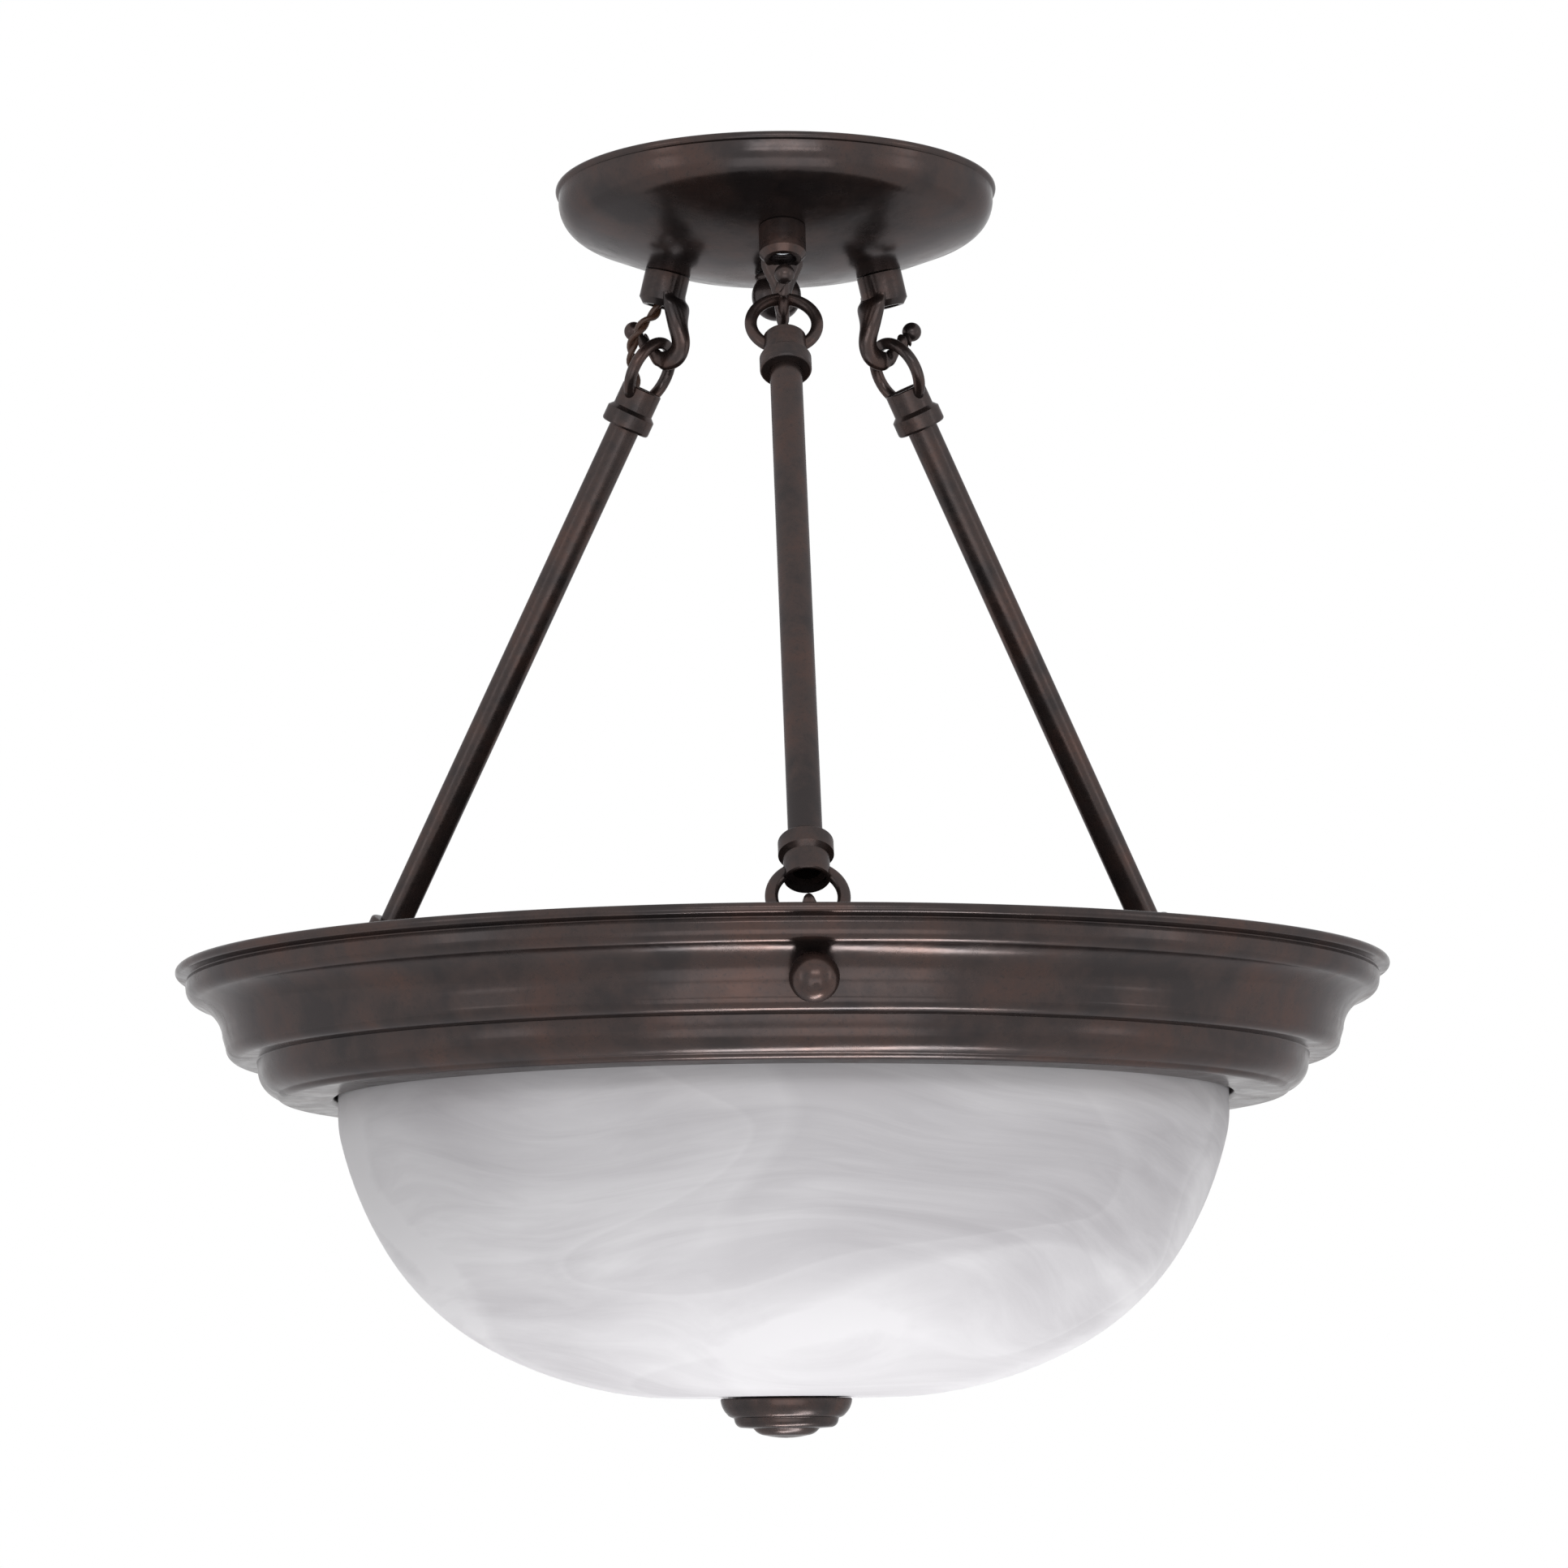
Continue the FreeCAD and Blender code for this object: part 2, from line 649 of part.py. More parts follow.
for side, azimuth in ARMS:
    place = in_arm(azimuth, pan_hook_base.x, pan_hook_base.z, size("pan_hook_lean"))
    copy_of("pan_hook_" + side, pan_hook, place)
    pan_tools.append(
        cylinder("pan_stud_hole_" + side, "sizes.pipe_radius + 0.3", "24", along(place, -12))
    )
    knobs.append(copy_of("pan_knob_" + side, knob_master, place))
place = in_arm(grommet_azimuth, GROMMET_CIRCLE, RIM + FLOOR - 5)
pan_tools.append(cylinder("grommet_hole", str(GROMMET_HOLE), "12", place))
pan = cut("pan", pan_blank, *pan_tools)
group("pan_knobs", *knobs)

grommet = turned(
    "grommet",
    [
        (3.2, -3.2),
        (6.6, -3.2),
        (6.6, -1.3),
        (GROMMET_HOLE - 0.05, -1.3),
        (GROMMET_HOLE - 0.05, 0.1),
        (6.6, 0.1),
        (6.2, 1.6, 1.0),
        (3.2, 1.6),
    ],
)
grommet.Placement = in_arm(grommet_azimuth, GROMMET_CIRCLE, RIM + FLOOR + size("sheet_gauge"))

# --- stem, lamp holders and lamps ----------------------------------------------------------

STEM_ABOVE = 9.0  # stem over the pan's floor
stem_top = RIM + FLOOR + size("sheet_gauge") + STEM_ABOVE
stem_low = RIM - 143.6
stem_place = Placement(Vector(0, 0, stem_low), Rotation())
centre_stem = pipe("centre_stem", "%.2f" % (stem_top - stem_low), stem_place)
BRACKET_GAUGE = 1.5
floor_top = RIM + FLOOR + size("sheet_gauge")
bracket_low = RIM + FLOOR - BRACKET_GAUGE
stem_nuts = [
    nut("stem_nut_top", NUT_FLATS, NUT_THICK, Placement(Vector(0, 0, floor_top), Rotation())),
    nut("stem_nut_low", NUT_FLATS, NUT_THICK, Placement(Vector(0, 0, bracket_low), UPSIDE_DOWN)),
]
group("stem_nuts", *stem_nuts)

# pressed bracket: a disc under the pan's floor with three tabs bent down, one for each holder
TAB_WIDTH = 18.0
bracket_parts = [
    cylinder("bracket_disc", "22.0", str(BRACKET_GAUGE), Placement(Vector(0, 0, bracket_low), Rotation()))
]
tab_low = RIM - size("holder_drop") - 10.0
for side, azimuth in LAMPS:
    tab = doc.addObject("Part::Box", "bracket_tab_" + side)
    bind(tab, Length=str(BRACKET_GAUGE), Width=str(TAB_WIDTH), Height="%.2f" % (bracket_low + 0.5 - tab_low))
    place = in_arm(azimuth, 0, 0)
    offset = Vector(size("holder_start") - BRACKET_GAUGE - 0.05, -TAB_WIDTH / 2, tab_low)
    tab.Placement = place * Placement(offset, Rotation())
    bracket_parts.append(tab)
bracket_blank = join("bracket_blank", *bracket_parts)
bracket_hole = cylinder(
    "bracket_hole", "sizes.pipe_radius + 0.3", "10", Placement(Vector(0, 0, bracket_low - 3), Rotation())
)
holder_bracket = cut("holder_bracket", bracket_blank, bracket_hole)

# a holder and its lamp are drawn upright, contact end at the origin, and laid outward
SHELL_GAP = 0.35  # between a lamp's cap and the holder's shell
SHELL_GAUGE = 0.5
HOLDER_BASE = 6.0  # back of the holder to the lamp's contact
shell_inside = size("cap_radius") + SHELL_GAP
holder_master = turned(
    "holder_master",
    [
        (1.6, 0),
        (("holder_radius", -5.0), 0),
        (("holder_radius", -3.0), 2.0, 2.0),
        (("holder_radius", -3.0), 9.0),
        (("holder_radius", 0), 12.0),
        (("holder_radius", 0), ("holder_length", -1.0)),
        (("holder_radius", -1.0), ("holder_length", 0), 1.0),
        (shell_inside + SHELL_GAUGE + 0.6, ("holder_length", 0)),
        (shell_inside + SHELL_GAUGE + 0.05, ("holder_length", -1.5)),
        (shell_inside + SHELL_GAUGE + 0.05, HOLDER_BASE - 1.0),
        (1.6, HOLDER_BASE - 1.0),
    ],
)
shell_master = turned(
    "shell_master",
    [
        (shell_inside, HOLDER_BASE - 0.95),
        (shell_inside + SHELL_GAUGE, HOLDER_BASE - 0.95),
        (shell_inside + SHELL_GAUGE, HOLDER_BASE + 20.0),
        (shell_inside, HOLDER_BASE + 20.0),
    ],
)
contact_master = turned(
    "contact_master",
    [
        (0, 0),
        (1.55, 0),
        (1.55, HOLDER_BASE - 0.9),
        (3.6, HOLDER_BASE - 0.9),
        (3.2, HOLDER_BASE - 0.35),
        (0, HOLDER_BASE - 0.35),
    ],
)
cap_master = turned(
    "cap_master",
    [
        (0, 0),
        (3.0, 0.2),
        (4.5, 1.2),
        (10.5, 3.6),
        (("cap_radius", -0.4), 5.0),
        (("cap_radius", 0), 6.0),
        (("cap_radius", 0), 24.0),
        (("cap_radius", -0.9), 24.8),
        (("cap_radius", -0.9), 26.0),
        (0, 26.0),
    ],
)
LAMP_WALL = 0.8
NECK = 12.2
bulge = size("lamp_radius")
tip_height = size("lamp_length")
envelope_path = [
    (0, tip_height),
    (bulge, tip_height - bulge, -bulge),
    (bulge - 3.3, tip_height - bulge - 16.0, -41.0),
    (NECK + 3.6, 38.0, 60.0),
    (NECK, 26.05),
]
lamp_master = turned("lamp_master", sheet_outline(envelope_path, LAMP_WALL))

shells = []
contacts = []
for side, azimuth in LAMPS:
    place = in_arm(azimuth, size("holder_start"), RIM - size("holder_drop"), 90)
    copy_of("lamp_holder_" + side, holder_master, place)
    shells.append(copy_of("holder_shell_" + side, shell_master, place))
    contacts.append(copy_of("holder_contact_" + side, contact_master, place))
    lamp = along(place, HOLDER_BASE)
    copy_of("lamp_cap_" + side, cap_master, lamp)
    copy_of("lamp_glass_" + side, lamp_master, lamp)
group("holder_shells", *shells)
group("holder_contacts", *contacts)

# --- glass bowl and finial -----------------------------------------------------------------

GLASS_RIM = FLOOR - 0.4
glass_turns = arc_run(
    (size("glass_radius"), -46.5),
    0.0,
    ((36.0, 13.5), (118.0, 31.6), (88.0, 61.2), (131.0, 84.0), (60.0, 90.0)),
)
glass_low = glass_turns[-1][1]
GLASS_HOLE = 6.4
glass_path = [(("glass_radius", 0), GLASS_RIM), (("glass_radius", 0), -46.5)]
glass_path += glass_turns + [(GLASS_HOLE, glass_low)]
glass_bowl = turned("glass_bowl", below_rim(sheet_outline(glass_path, size("glass_wall"))))

WASHER_TOP = glass_low - 0.02
WASHER_THICK = 1.6
WASHER_LOW = WASHER_TOP - WASHER_THICK
washer_outline = [(5.6, WASHER_TOP), (14.0, WASHER_TOP), (14.0, WASHER_LOW), (5.6, WASHER_LOW)]
glass_washer = turned("glass_washer", below_rim(washer_outline))
FINIAL_TOP = glass_low - 0.4
TIP_STEP = size("finial_radius") - 14.2  # radius and height of the dome under the finial
TIP_RISE = 0.8
FINIAL_DOME = (TIP_STEP ** 2 + TIP_RISE ** 2) / 2 / TIP_RISE
recess = WASHER_LOW - 0.4
finial = turned(
    "finial",
    below_rim(
        [
            (("pipe_radius", 0.08), recess),
            (14.6, recess),
            (14.6, FINIAL_TOP),
            (("finial_radius", -0.5), FINIAL_TOP),
            (("finial_radius", 0), FINIAL_TOP - 0.6, -0.6),
            (("finial_radius", -2.0), FINIAL_TOP - 4.9, -7.0),
            (("finial_radius", -4.2), FINIAL_TOP - 6.2, -3.4),
            (("finial_radius", -4.4), FINIAL_TOP - 7.0),
            (("finial_radius", -6.4), FINIAL_TOP - 9.2, -2.7),
            (("finial_radius", -10.4), FINIAL_TOP - 9.5),
            (("finial_radius", -11.0), FINIAL_TOP - 10.2),
            (("finial_radius", -14.2), FINIAL_TOP - 12.5 + TIP_RISE, -5.2),
            (0, FINIAL_TOP - 12.5, -FINIAL_DOME),
            (0, FINIAL_TOP - 9.0),
            (("pipe_radius", 0.08), FINIAL_TOP - 8.2),
        ]
    ),
)

# --- wiring --------------------------------------------------------------------------------


def route(points, tight=0.45):
    """A path of straight runs joined by arcs as large as the runs allow."""
    points = [Vector(point) for point in points]
    edges = []
    start = points[0]
    for before, here, after in zip(points, points[1:], points[2:]):
        one = here - before
        two = after - here
        turn = one.getAngle(two)
        trim = tight * min(one.Length, two.Length)
        leave = here - one * (trim / one.Length)
        join_on = here + two * (trim / two.Length)
        bisector = (join_on - here) + (leave - here)
        radius = trim / math.tan(turn / 2)
        middle = here + bisector * ((math.hypot(radius, trim) - radius) / bisector.Length)
        edges.append(Part.makeLine(start, leave))
        edges.append(Part.Arc(leave, middle, join_on).toShape())
        start = join_on
    edges.append(Part.makeLine(start, points[-1]))
    return Part.Wire(edges)


def lead(points, radius):
    """A round wire along a route."""
    path = route(points)
    heading = Vector(points[1]) - Vector(points[0])
    section = Part.Wire([Part.makeCircle(radius, Vector(points[0]), heading)])
    return path.makePipeShell([section], True, False)


LEAD = 1.9  # twin lead, twisted
CORE = 1.1  # lead of one lamp holder
lead_arm = ARMS[2][1]


def in_lead_arm(radius, sideways, height):
    """A point in the left arm's plane, moved sideways towards the front."""
    return in_arm(lead_arm, 0, 0).multVec(Vector(radius, sideways, height))


hook_place = in_arm(lead_arm, size("hook_circle"), hook_height, -hook_slope)
down_hook = hook_place.Rotation.multVec(Vector(0, 0, -1))
hook_start = hook_place.Base
mouth_high = in_arm(lead_arm, size("seat_circle"), -size("seat_drop"), 180 - lean)
mouth_low = in_arm(lead_arm, low_circle, -low_drop, -lean)
rod_way = mouth_high.Rotation.multVec(Vector(0, 0, 1))
outward = mouth_high.Rotation.multVec(Vector(-1, 0, 0))
sideways = mouth_high.Rotation.multVec(Vector(0, 1, 0))
in_mouth = mouth_high.Base + outward * 1.9 + sideways * 1.5

arm_lead_points = [
    hook_start + down_hook * 6.2,
    hook_start + down_hook * 13.5 + sideways * 0.6,
    in_lead_arm(47.6, 5.6, -41.2),
    in_lead_arm(52.0, 6.2, -50.0),
    in_mouth + rod_way * 13.6 + outward * 0.9 + sideways * 0.4,
    in_mouth + rod_way * 26.0 - outward * 1.7 - sideways * 1.3,
    mouth_high.Base + rod_way * 60.0,
]
low_base = mouth_low.Base
PAN_JOIN = (133.0, 4.0, RIM - 16.0)
arm_lead_points += [
    low_base - rod_way * 34.0,
    low_base - rod_way * 14.0 + in_arm(lead_arm, 0, 0).multVec(Vector(-1.5, 1.5, 0)),
    in_lead_arm(143.5, 7.5, RIM - 2.5),
    in_lead_arm(*PAN_JOIN),
]
formed("arm_lead", lead(arm_lead_points, LEAD))
join_way = (Vector(arm_lead_points[-1]) - Vector(arm_lead_points[-2])).normalize()
SPLICE = 38.0  # middle of the pan to the connectors
lead_floor = RIM - 44.0
pan_lead_points = [
    in_lead_arm(*PAN_JOIN) + join_way * 0.8,
    in_lead_arm(*PAN_JOIN) + join_way * 5.5,
    in_lead_arm(GROMMET_CIRCLE, 0, RIM - 22.0),
    in_lead_arm(GROMMET_CIRCLE, 0, lead_floor),
    in_lead_arm(SPLICE, 0, lead_floor),
    in_lead_arm(SPLICE, 0, lead_floor - 6.0),
]
formed("pan_lead", lead(pan_lead_points, LEAD))
canopy_lead_points = [
    hook_start + down_hook * 5.5,
    hook_start - down_hook * 8.2,
    hook_start - down_hook * 13.0 + in_arm(lead_arm, 0, 0).multVec(Vector(3.0, 6.0, 0)),
    Vector(-38.0, 2.0, -13.0),
    Vector(-38.0, -4.0, -13.0),
]
formed("canopy_lead", lead(canopy_lead_points, LEAD))
connector_master = turned(
    "connector_master",
    [(0, 0), (0, 17.0), (2.6, 17.0), (3.4, 16.0, -0.9), (5.2, 3.0), (5.4, 0)],
)


def connector_pair(name, middle, turn):
    """Two twist-on connectors side by side at the end of a lead."""
    pair = []
    for index, offset in enumerate((-5.6, 5.6), 1):
        spot = Placement(middle, turn) * Placement(Vector(offset, 0, 0), Rotation())
        pair.append(copy_of("%s_%d" % (name, index), connector_master, spot))
    return pair


END_FIT = 0.02
canopy_end = canopy_lead_points[-1] + Vector(0, -END_FIT, 0)
pan_turn = Rotation(Vector(0, 0, 1), lead_arm + 90) * UPSIDE_DOWN
splice_end = in_lead_arm(SPLICE, 0, lead_floor - 6.0 - END_FIT)
group("canopy_connectors", *connector_pair("canopy_connector", canopy_end, Rotation(Vector(1, 0, 0), 90)))
group("pan_connectors", *connector_pair("pan_connector", splice_end, pan_turn))

# a lead runs from the top of each lamp holder to the connectors, the right one round the stem
holder_top = RIM - size("holder_drop") + size("holder_radius") - 3.0
lead_level = splice_end.z + 3.5
high_level = lead_level + 4.0
LEAD_SPOT = 20.0


def from_holder(azimuth, level):
    """First two points of a lead that rises from the back of a lamp holder."""
    start = in_arm(azimuth, LEAD_SPOT, holder_top + END_FIT).Base
    return [start, Vector(start.x, start.y, level)]


def to_splice(radius, offset, level):
    """Last two points of a lead that drops into a connector."""
    return [in_lead_arm(radius, offset, level), in_lead_arm(radius, offset, splice_end.z + END_FIT)]


around = [in_arm(azimuth, 26.0, high_level).Base for azimuth in (-60, -120, -150)]
rear_points = from_holder(90.0, lead_level) + to_splice(SPLICE, -5.6, lead_level)
left_points = from_holder(210.0, lead_level) + to_splice(SPLICE + 1.8, 5.6, lead_level)
right_points = from_holder(-30.0, high_level) + around + to_splice(SPLICE - 2.4, 5.6, high_level)
cores = [
    formed("core_rear", lead(rear_points, CORE)),
    formed("core_left", lead(left_points, CORE)),
    formed("core_right", lead(right_points, CORE)),
]
group("holder_leads", *cores)

# --- check and write -----------------------------------------------------------------------

BODIES = {
    "canopy": ["crossbar", "ground_screw", "centre_nipple", "crossbar_nut", "canopy"]
    + ["hook_nipples", "hook_nuts"]
    + ["ceiling_hook_" + side for side, _ in ARMS]
    + ["canopy_lead", "canopy_connectors"],
    "knob": ["canopy_knob"],
    "pan": ["pan", "pan_knobs", "grommet", "pan_lead", "centre_stem", "stem_nuts", "holder_bracket"]
    + ["pan_hook_" + side for side, _ in ARMS]
    + ["lamp_holder_rear", "lamp_holder_right", "lamp_holder_left"]
    + ["holder_shells", "holder_contacts", "holder_leads", "pan_connectors"],
    "glass": ["glass_bowl", "glass_washer"],
    "finial": ["finial"],
}
for side, _ in ARMS:
    BODIES["arm_" + side] = ["upper_loop_" + side, "rod_" + side, "lower_loop_" + side]
BODIES["arm_left"].append("arm_lead")
for side in ("rear", "right", "left"):
    BODIES["lamp_" + side] = ["lamp_cap_" + side, "lamp_glass_" + side]

doc.recompute()
faults = []
for part in doc.Objects:
    if "Invalid" in part.State or "Error" in part.State:
        faults.append("%s is %s" % (part.Name, part.State))
nodes = [name for names in BODIES.values() for name in names]
for name in nodes:
    part = doc.getObject(name)
    if part is None or part.Shape.isNull() or not part.Shape.isValid() or not part.Shape.Solids:
        faults.append(name + " has no sound solid")
if faults:
    raise SystemExit("; ".join(faults))
os.makedirs("parts", exist_ok=True)
for name in nodes:
    part = doc.getObject(name)
    part.Label = name
    part.Shape.exportStep(os.path.join("parts", name + ".step"))
print(len(nodes), "sub-parts")
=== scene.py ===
import math

import bmesh
import bpy
from mathutils import Matrix, Vector


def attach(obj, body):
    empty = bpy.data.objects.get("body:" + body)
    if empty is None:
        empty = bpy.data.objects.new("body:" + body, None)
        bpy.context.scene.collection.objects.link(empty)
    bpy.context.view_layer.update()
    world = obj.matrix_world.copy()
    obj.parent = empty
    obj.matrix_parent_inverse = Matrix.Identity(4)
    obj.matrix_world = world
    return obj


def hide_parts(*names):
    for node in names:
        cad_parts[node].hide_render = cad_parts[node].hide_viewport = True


bl_info = {
    "name": "Semi flush ceiling light",
    "version": (1, 0, 0),
    "blender": (4, 5, 0),
    "location": "View3D > Sidebar > Ceiling light",
    "description": "Bronze canopy, hooks, rods and pan with an alabaster glass bowl",
    "category": "Object",
}

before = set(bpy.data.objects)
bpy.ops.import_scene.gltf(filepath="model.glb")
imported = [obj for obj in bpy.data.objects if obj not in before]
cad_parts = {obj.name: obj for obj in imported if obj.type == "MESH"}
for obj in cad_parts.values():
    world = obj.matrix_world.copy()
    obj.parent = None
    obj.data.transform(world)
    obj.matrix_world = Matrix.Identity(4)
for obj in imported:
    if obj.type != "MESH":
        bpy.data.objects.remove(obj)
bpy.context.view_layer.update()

MM = 0.001
ARMS = ("front", "right", "left")
LAMPS = ("rear", "right", "left")
LEAD_ARM_DEGREES = 150.0  # direction of the left arm, which carries the lead, from +X

# sheet metal and threaded tube, in millimetres
SHEET_GAUGE = 1.2
TUBE_HOLE = 5.2  # holes and bores that clear the threaded tube
SHARP_EDGE = math.radians(32.0)  # faces that meet at more than this stay crisp

# the camera of the photograph: how far it stands off, its turns in radians, its focal length
PHOTO_WIDTH = 1932
FOCAL_PIXELS = 6111.19
SENSOR_WIDTH = 36.0
CAMERA_DISTANCE = 1.58611
CAMERA_HEIGHT = -0.417772
CAMERA_SIDE = -0.04847
CAMERA_AIM = -0.000643
CAMERA_RISE = 0.138127
CAMERA_ROLL = -0.008999


# --- sizes and colours ---------------------------------------------------------------------


def length(name, description, default):
    """A size that a user may change, kept in metres."""
    return bpy.props.FloatProperty(
        name=name, description=description, default=default * MM, unit="LENGTH", precision=5
    )


def colour(name, description, code):
    """A colour that a user may change, given as an sRGB hex value."""
    return bpy.props.FloatVectorProperty(
        name=name, description=description, default=linear(code), subtype="COLOR", size=3, min=0.0, max=1.0
    )


def linear(code):
    """An sRGB hex value as linear red, green and blue."""
    parts = [int(code[i : i + 2], 16) / 255 for i in (1, 3, 5)]
    return tuple(p / 12.92 if p <= 0.04045 else ((p + 0.055) / 1.055) ** 2.4 for p in parts)


class LightSizes(bpy.types.PropertyGroup):
    """Sizes of the light that its pieces are made from."""

    canopy_radius: length("Canopy radius", "Outside of the canopy's wall", 71.2)
    canopy_depth: length("Canopy depth", "Ceiling to the lowest point of the dome", 29.1)
    canopy_dome: length("Canopy dome", "Radius that the dome is spun to", 156.0)
    pan_radius: length("Pan radius", "Outside of the pan's rolled rim", 193.7)
    pan_drop: length("Pan drop", "Ceiling to the top of the pan's rim", 257.7)
    pan_depth: length("Pan depth", "Top of the rim to the lowest face of the pan", 41.8)
    pan_mouth: length("Pan mouth", "Opening that the glass goes up into", 143.2)
    glass_radius: length("Glass radius", "Outside of the glass at its top edge", 142.0)
    glass_wall: length("Glass wall", "Thickness of the glass", 4.0)
    finial_radius: length("Finial radius", "Largest step of the finial", 20.9)
    knob_radius: length("Canopy knob radius", "Ball under the canopy", 8.1)
    pan_knob_radius: length("Pan knob radius", "Balls round the pan", 7.3)


class LightColours(bpy.types.PropertyGroup):
    """Colours of the light's finishes."""

    bronze: colour("Bronze paint", "Main tone of the baked paint", "#473d3b")
    bronze_dark: colour("Bronze shade", "Darker patches in the paint", "#3a3535")
    bronze_red: colour("Bronze glow", "Redder patches in the paint", "#52403b")
    glass_white: colour("Glass white", "Body of the alabaster glass", "#f1eff2")
    glass_vein: colour("Glass vein", "Greyer swirls in the glass", "#cbc8cc")
    lead_brown: colour("Lead", "Jacket of the lead", "#4a3023")


def sizes():
    return bpy.context.scene.ceiling_light_sizes


def colours():
    return bpy.context.scene.ceiling_light_colours


# --- sections and turned work --------------------------------------------------------------


def arc_points(start, end, radius, step=5.0):
    """Points after the start along an arc, with a radius above 0 for a left turn."""
    start = Vector(start)
    end = Vector(end)
    chord = end - start
    side = 1.0 if radius > 0 else -1.0
    normal = Vector((-chord.y, chord.x)).normalized() * side
    rise = math.sqrt(max(radius * radius - chord.length_squared / 4, 0.0))
    centre = start + chord / 2 + normal * rise
    sweep = 2 * math.asin(min(chord.length / 2 / abs(radius), 1.0)) * side
    count = max(2, math.ceil(abs(math.degrees(sweep)) / step))
    arm = start - centre
    points = []
    for index in range(1, count + 1):
        turn = Matrix.Rotation(sweep * index / count, 2)
        points.append(tuple(centre + turn @ arm))
    return points


def outline(corners, step=5.0):
    """Corners (radius, height[, arc radius of the run that ends there]) as points of a section,
    with the arcs cut into steps of at most so many degrees."""
    points = [tuple(corners[0][:2])]
    for corner in corners[1:]:
        if len(corner) > 2:
            points += arc_points(points[-1], corner[:2], corner[2], step)
        else:
            points.append(tuple(corner[:2]))
    return points


def sheet_section(path, gauge):
    """A path of points with its parallel on the right hand side, which closes it."""
    back = []
    for index, point in enumerate(path):
        here = Vector(point)
        ways = []
        if index > 0:
            ways.append((here - Vector(path[index - 1])).normalized())
        if index < len(path) - 1:
            ways.append((Vector(path[index + 1]) - here).normalized())
        rights = [Vector((way.y, -way.x)) for way in ways]
        middle = rights[0] if len(rights) == 1 else (rights[0] + rights[1]) / (1 + rights[0].dot(rights[1]))
        back.append(tuple(here + middle * gauge))
    return list(path) + back[::-1]


def spun(section, steps, soften=0.0):
    """A bmesh of a closed section, in millimetres, spun round the Z axis."""
    work = bmesh.new()
    ring = [work.verts.new((radius * MM, 0, height * MM)) for radius, height in section]
    for one, two in zip(ring, ring[1:] + ring[:1]):
        if one.co.x > 1e-9 or two.co.x > 1e-9:
            work.edges.new((one, two))
    if soften:
        sharp = [v for v in ring if len(v.link_edges) == 2 and v.co.x > 1e-9 and turn_at(v) > 0.35]
        bmesh.ops.bevel(
            work, geom=sharp, offset=soften * MM, offset_type="OFFSET", affect="VERTICES",
            segments=3, profile=0.5, material=-1, clamp_overlap=True,
        )
    bmesh.ops.spin(
        work, geom=work.verts[:] + work.edges[:], cent=(0, 0, 0), axis=(0, 0, 1), dvec=(0, 0, 0),
        angle=math.tau, steps=steps, use_merge=True, use_duplicate=False,
    )
    bmesh.ops.remove_doubles(work, verts=work.verts, dist=1e-6)
    bmesh.ops.dissolve_degenerate(work, dist=1e-6, edges=work.edges)
    bmesh.ops.recalc_face_normals(work, faces=work.faces)
    return work


def turn_at(vertex):
    """How far a section turns at a vertex, in radians."""
    one, two = [edge.other_vert(vertex).co - vertex.co for edge in vertex.link_edges]
    return math.pi - one.angle(two, 0.0)


def smooth_line(points, step):
    """Points a step apart, in millimetres, along the smooth line that a route's points steer."""
    curve = bpy.data.curves.new("route", "CURVE")
    curve.dimensions = "3D"
    curve.resolution_u = 24
    spline = curve.splines.new("NURBS")
    spline.points.add(len(points) - 1)
    for knot, point in zip(spline.points, points):
        knot.co = (*point, 1.0)
    spline.order_u = 3
    spline.use_endpoint_u = True
    holder = bpy.data.objects.new("route", curve)
    mesh = bpy.data.meshes.new_from_object(holder)
    drawn = [vertex.co.copy() for vertex in mesh.vertices]
    bpy.data.meshes.remove(mesh)
    bpy.data.objects.remove(holder)
    bpy.data.curves.remove(curve)
    line = [drawn[0]]
    spare = step * MM
    for one, two in zip(drawn, drawn[1:]):
        run = (two - one).length
        gone = spare
        while gone <= run:
            line.append(one.lerp(two, gone / run))
            gone += step * MM
        spare = gone - run
    return line


def twisted_pair(points, core, pitch):
    """A bmesh of two round cores of one radius twisted round each other along a route, with a
    turn to each pitch, in millimetres."""
    per_turn = 14
    line = smooth_line(points, pitch / per_turn)
    way = (line[1] - line[0]).normalized()
    across = way.orthogonal().normalized()
    strands = ([], [])
    for index, point in enumerate(line):
        ahead = (line[min(index + 1, len(line) - 1)] - line[max(index - 1, 0)]).normalized()
        across = way.rotation_difference(ahead) @ across
        way = ahead
        turned = Matrix.Rotation(math.tau * index / per_turn, 3, way) @ across * core * MM
        strands[0].append(point + turned)
        strands[1].append(point - turned)
    work = bmesh.new()
    for strand in strands:
        curve = bpy.data.curves.new("core", "CURVE")
        curve.dimensions = "3D"
        curve.bevel_depth = core * MM
        curve.bevel_resolution = 3
        curve.use_fill_caps = True
        spline = curve.splines.new("POLY")
        spline.points.add(len(strand) - 1)
        for knot, point in zip(spline.points, strand):
            knot.co = (*point, 1.0)
        holder = bpy.data.objects.new("core", curve)
        mesh = bpy.data.meshes.new_from_object(holder)
        work.from_mesh(mesh)
        bpy.data.meshes.remove(mesh)
        bpy.data.objects.remove(holder)
        bpy.data.curves.remove(curve)
    bmesh.ops.remove_doubles(work, verts=work.verts, dist=1e-6)
    bmesh.ops.recalc_face_normals(work, faces=work.faces)
    return work


def piece(name, work, material, body, replaced):
    """Turns a bmesh into one finished object that rides on a body in place of a CAD node."""
    mesh = bpy.data.meshes.new(name)
    for face in work.faces:
        face.smooth = True
    work.to_mesh(mesh)
    work.free()
    mesh.set_sharp_from_angle(angle=SHARP_EDGE)
    mesh.materials.append(material)
    made = bpy.data.objects.new(name, mesh)
    bpy.context.scene.collection.objects.link(made)
    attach(made, body)
    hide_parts(replaced)


# --- nodes and materials -------------------------------------------------------------------


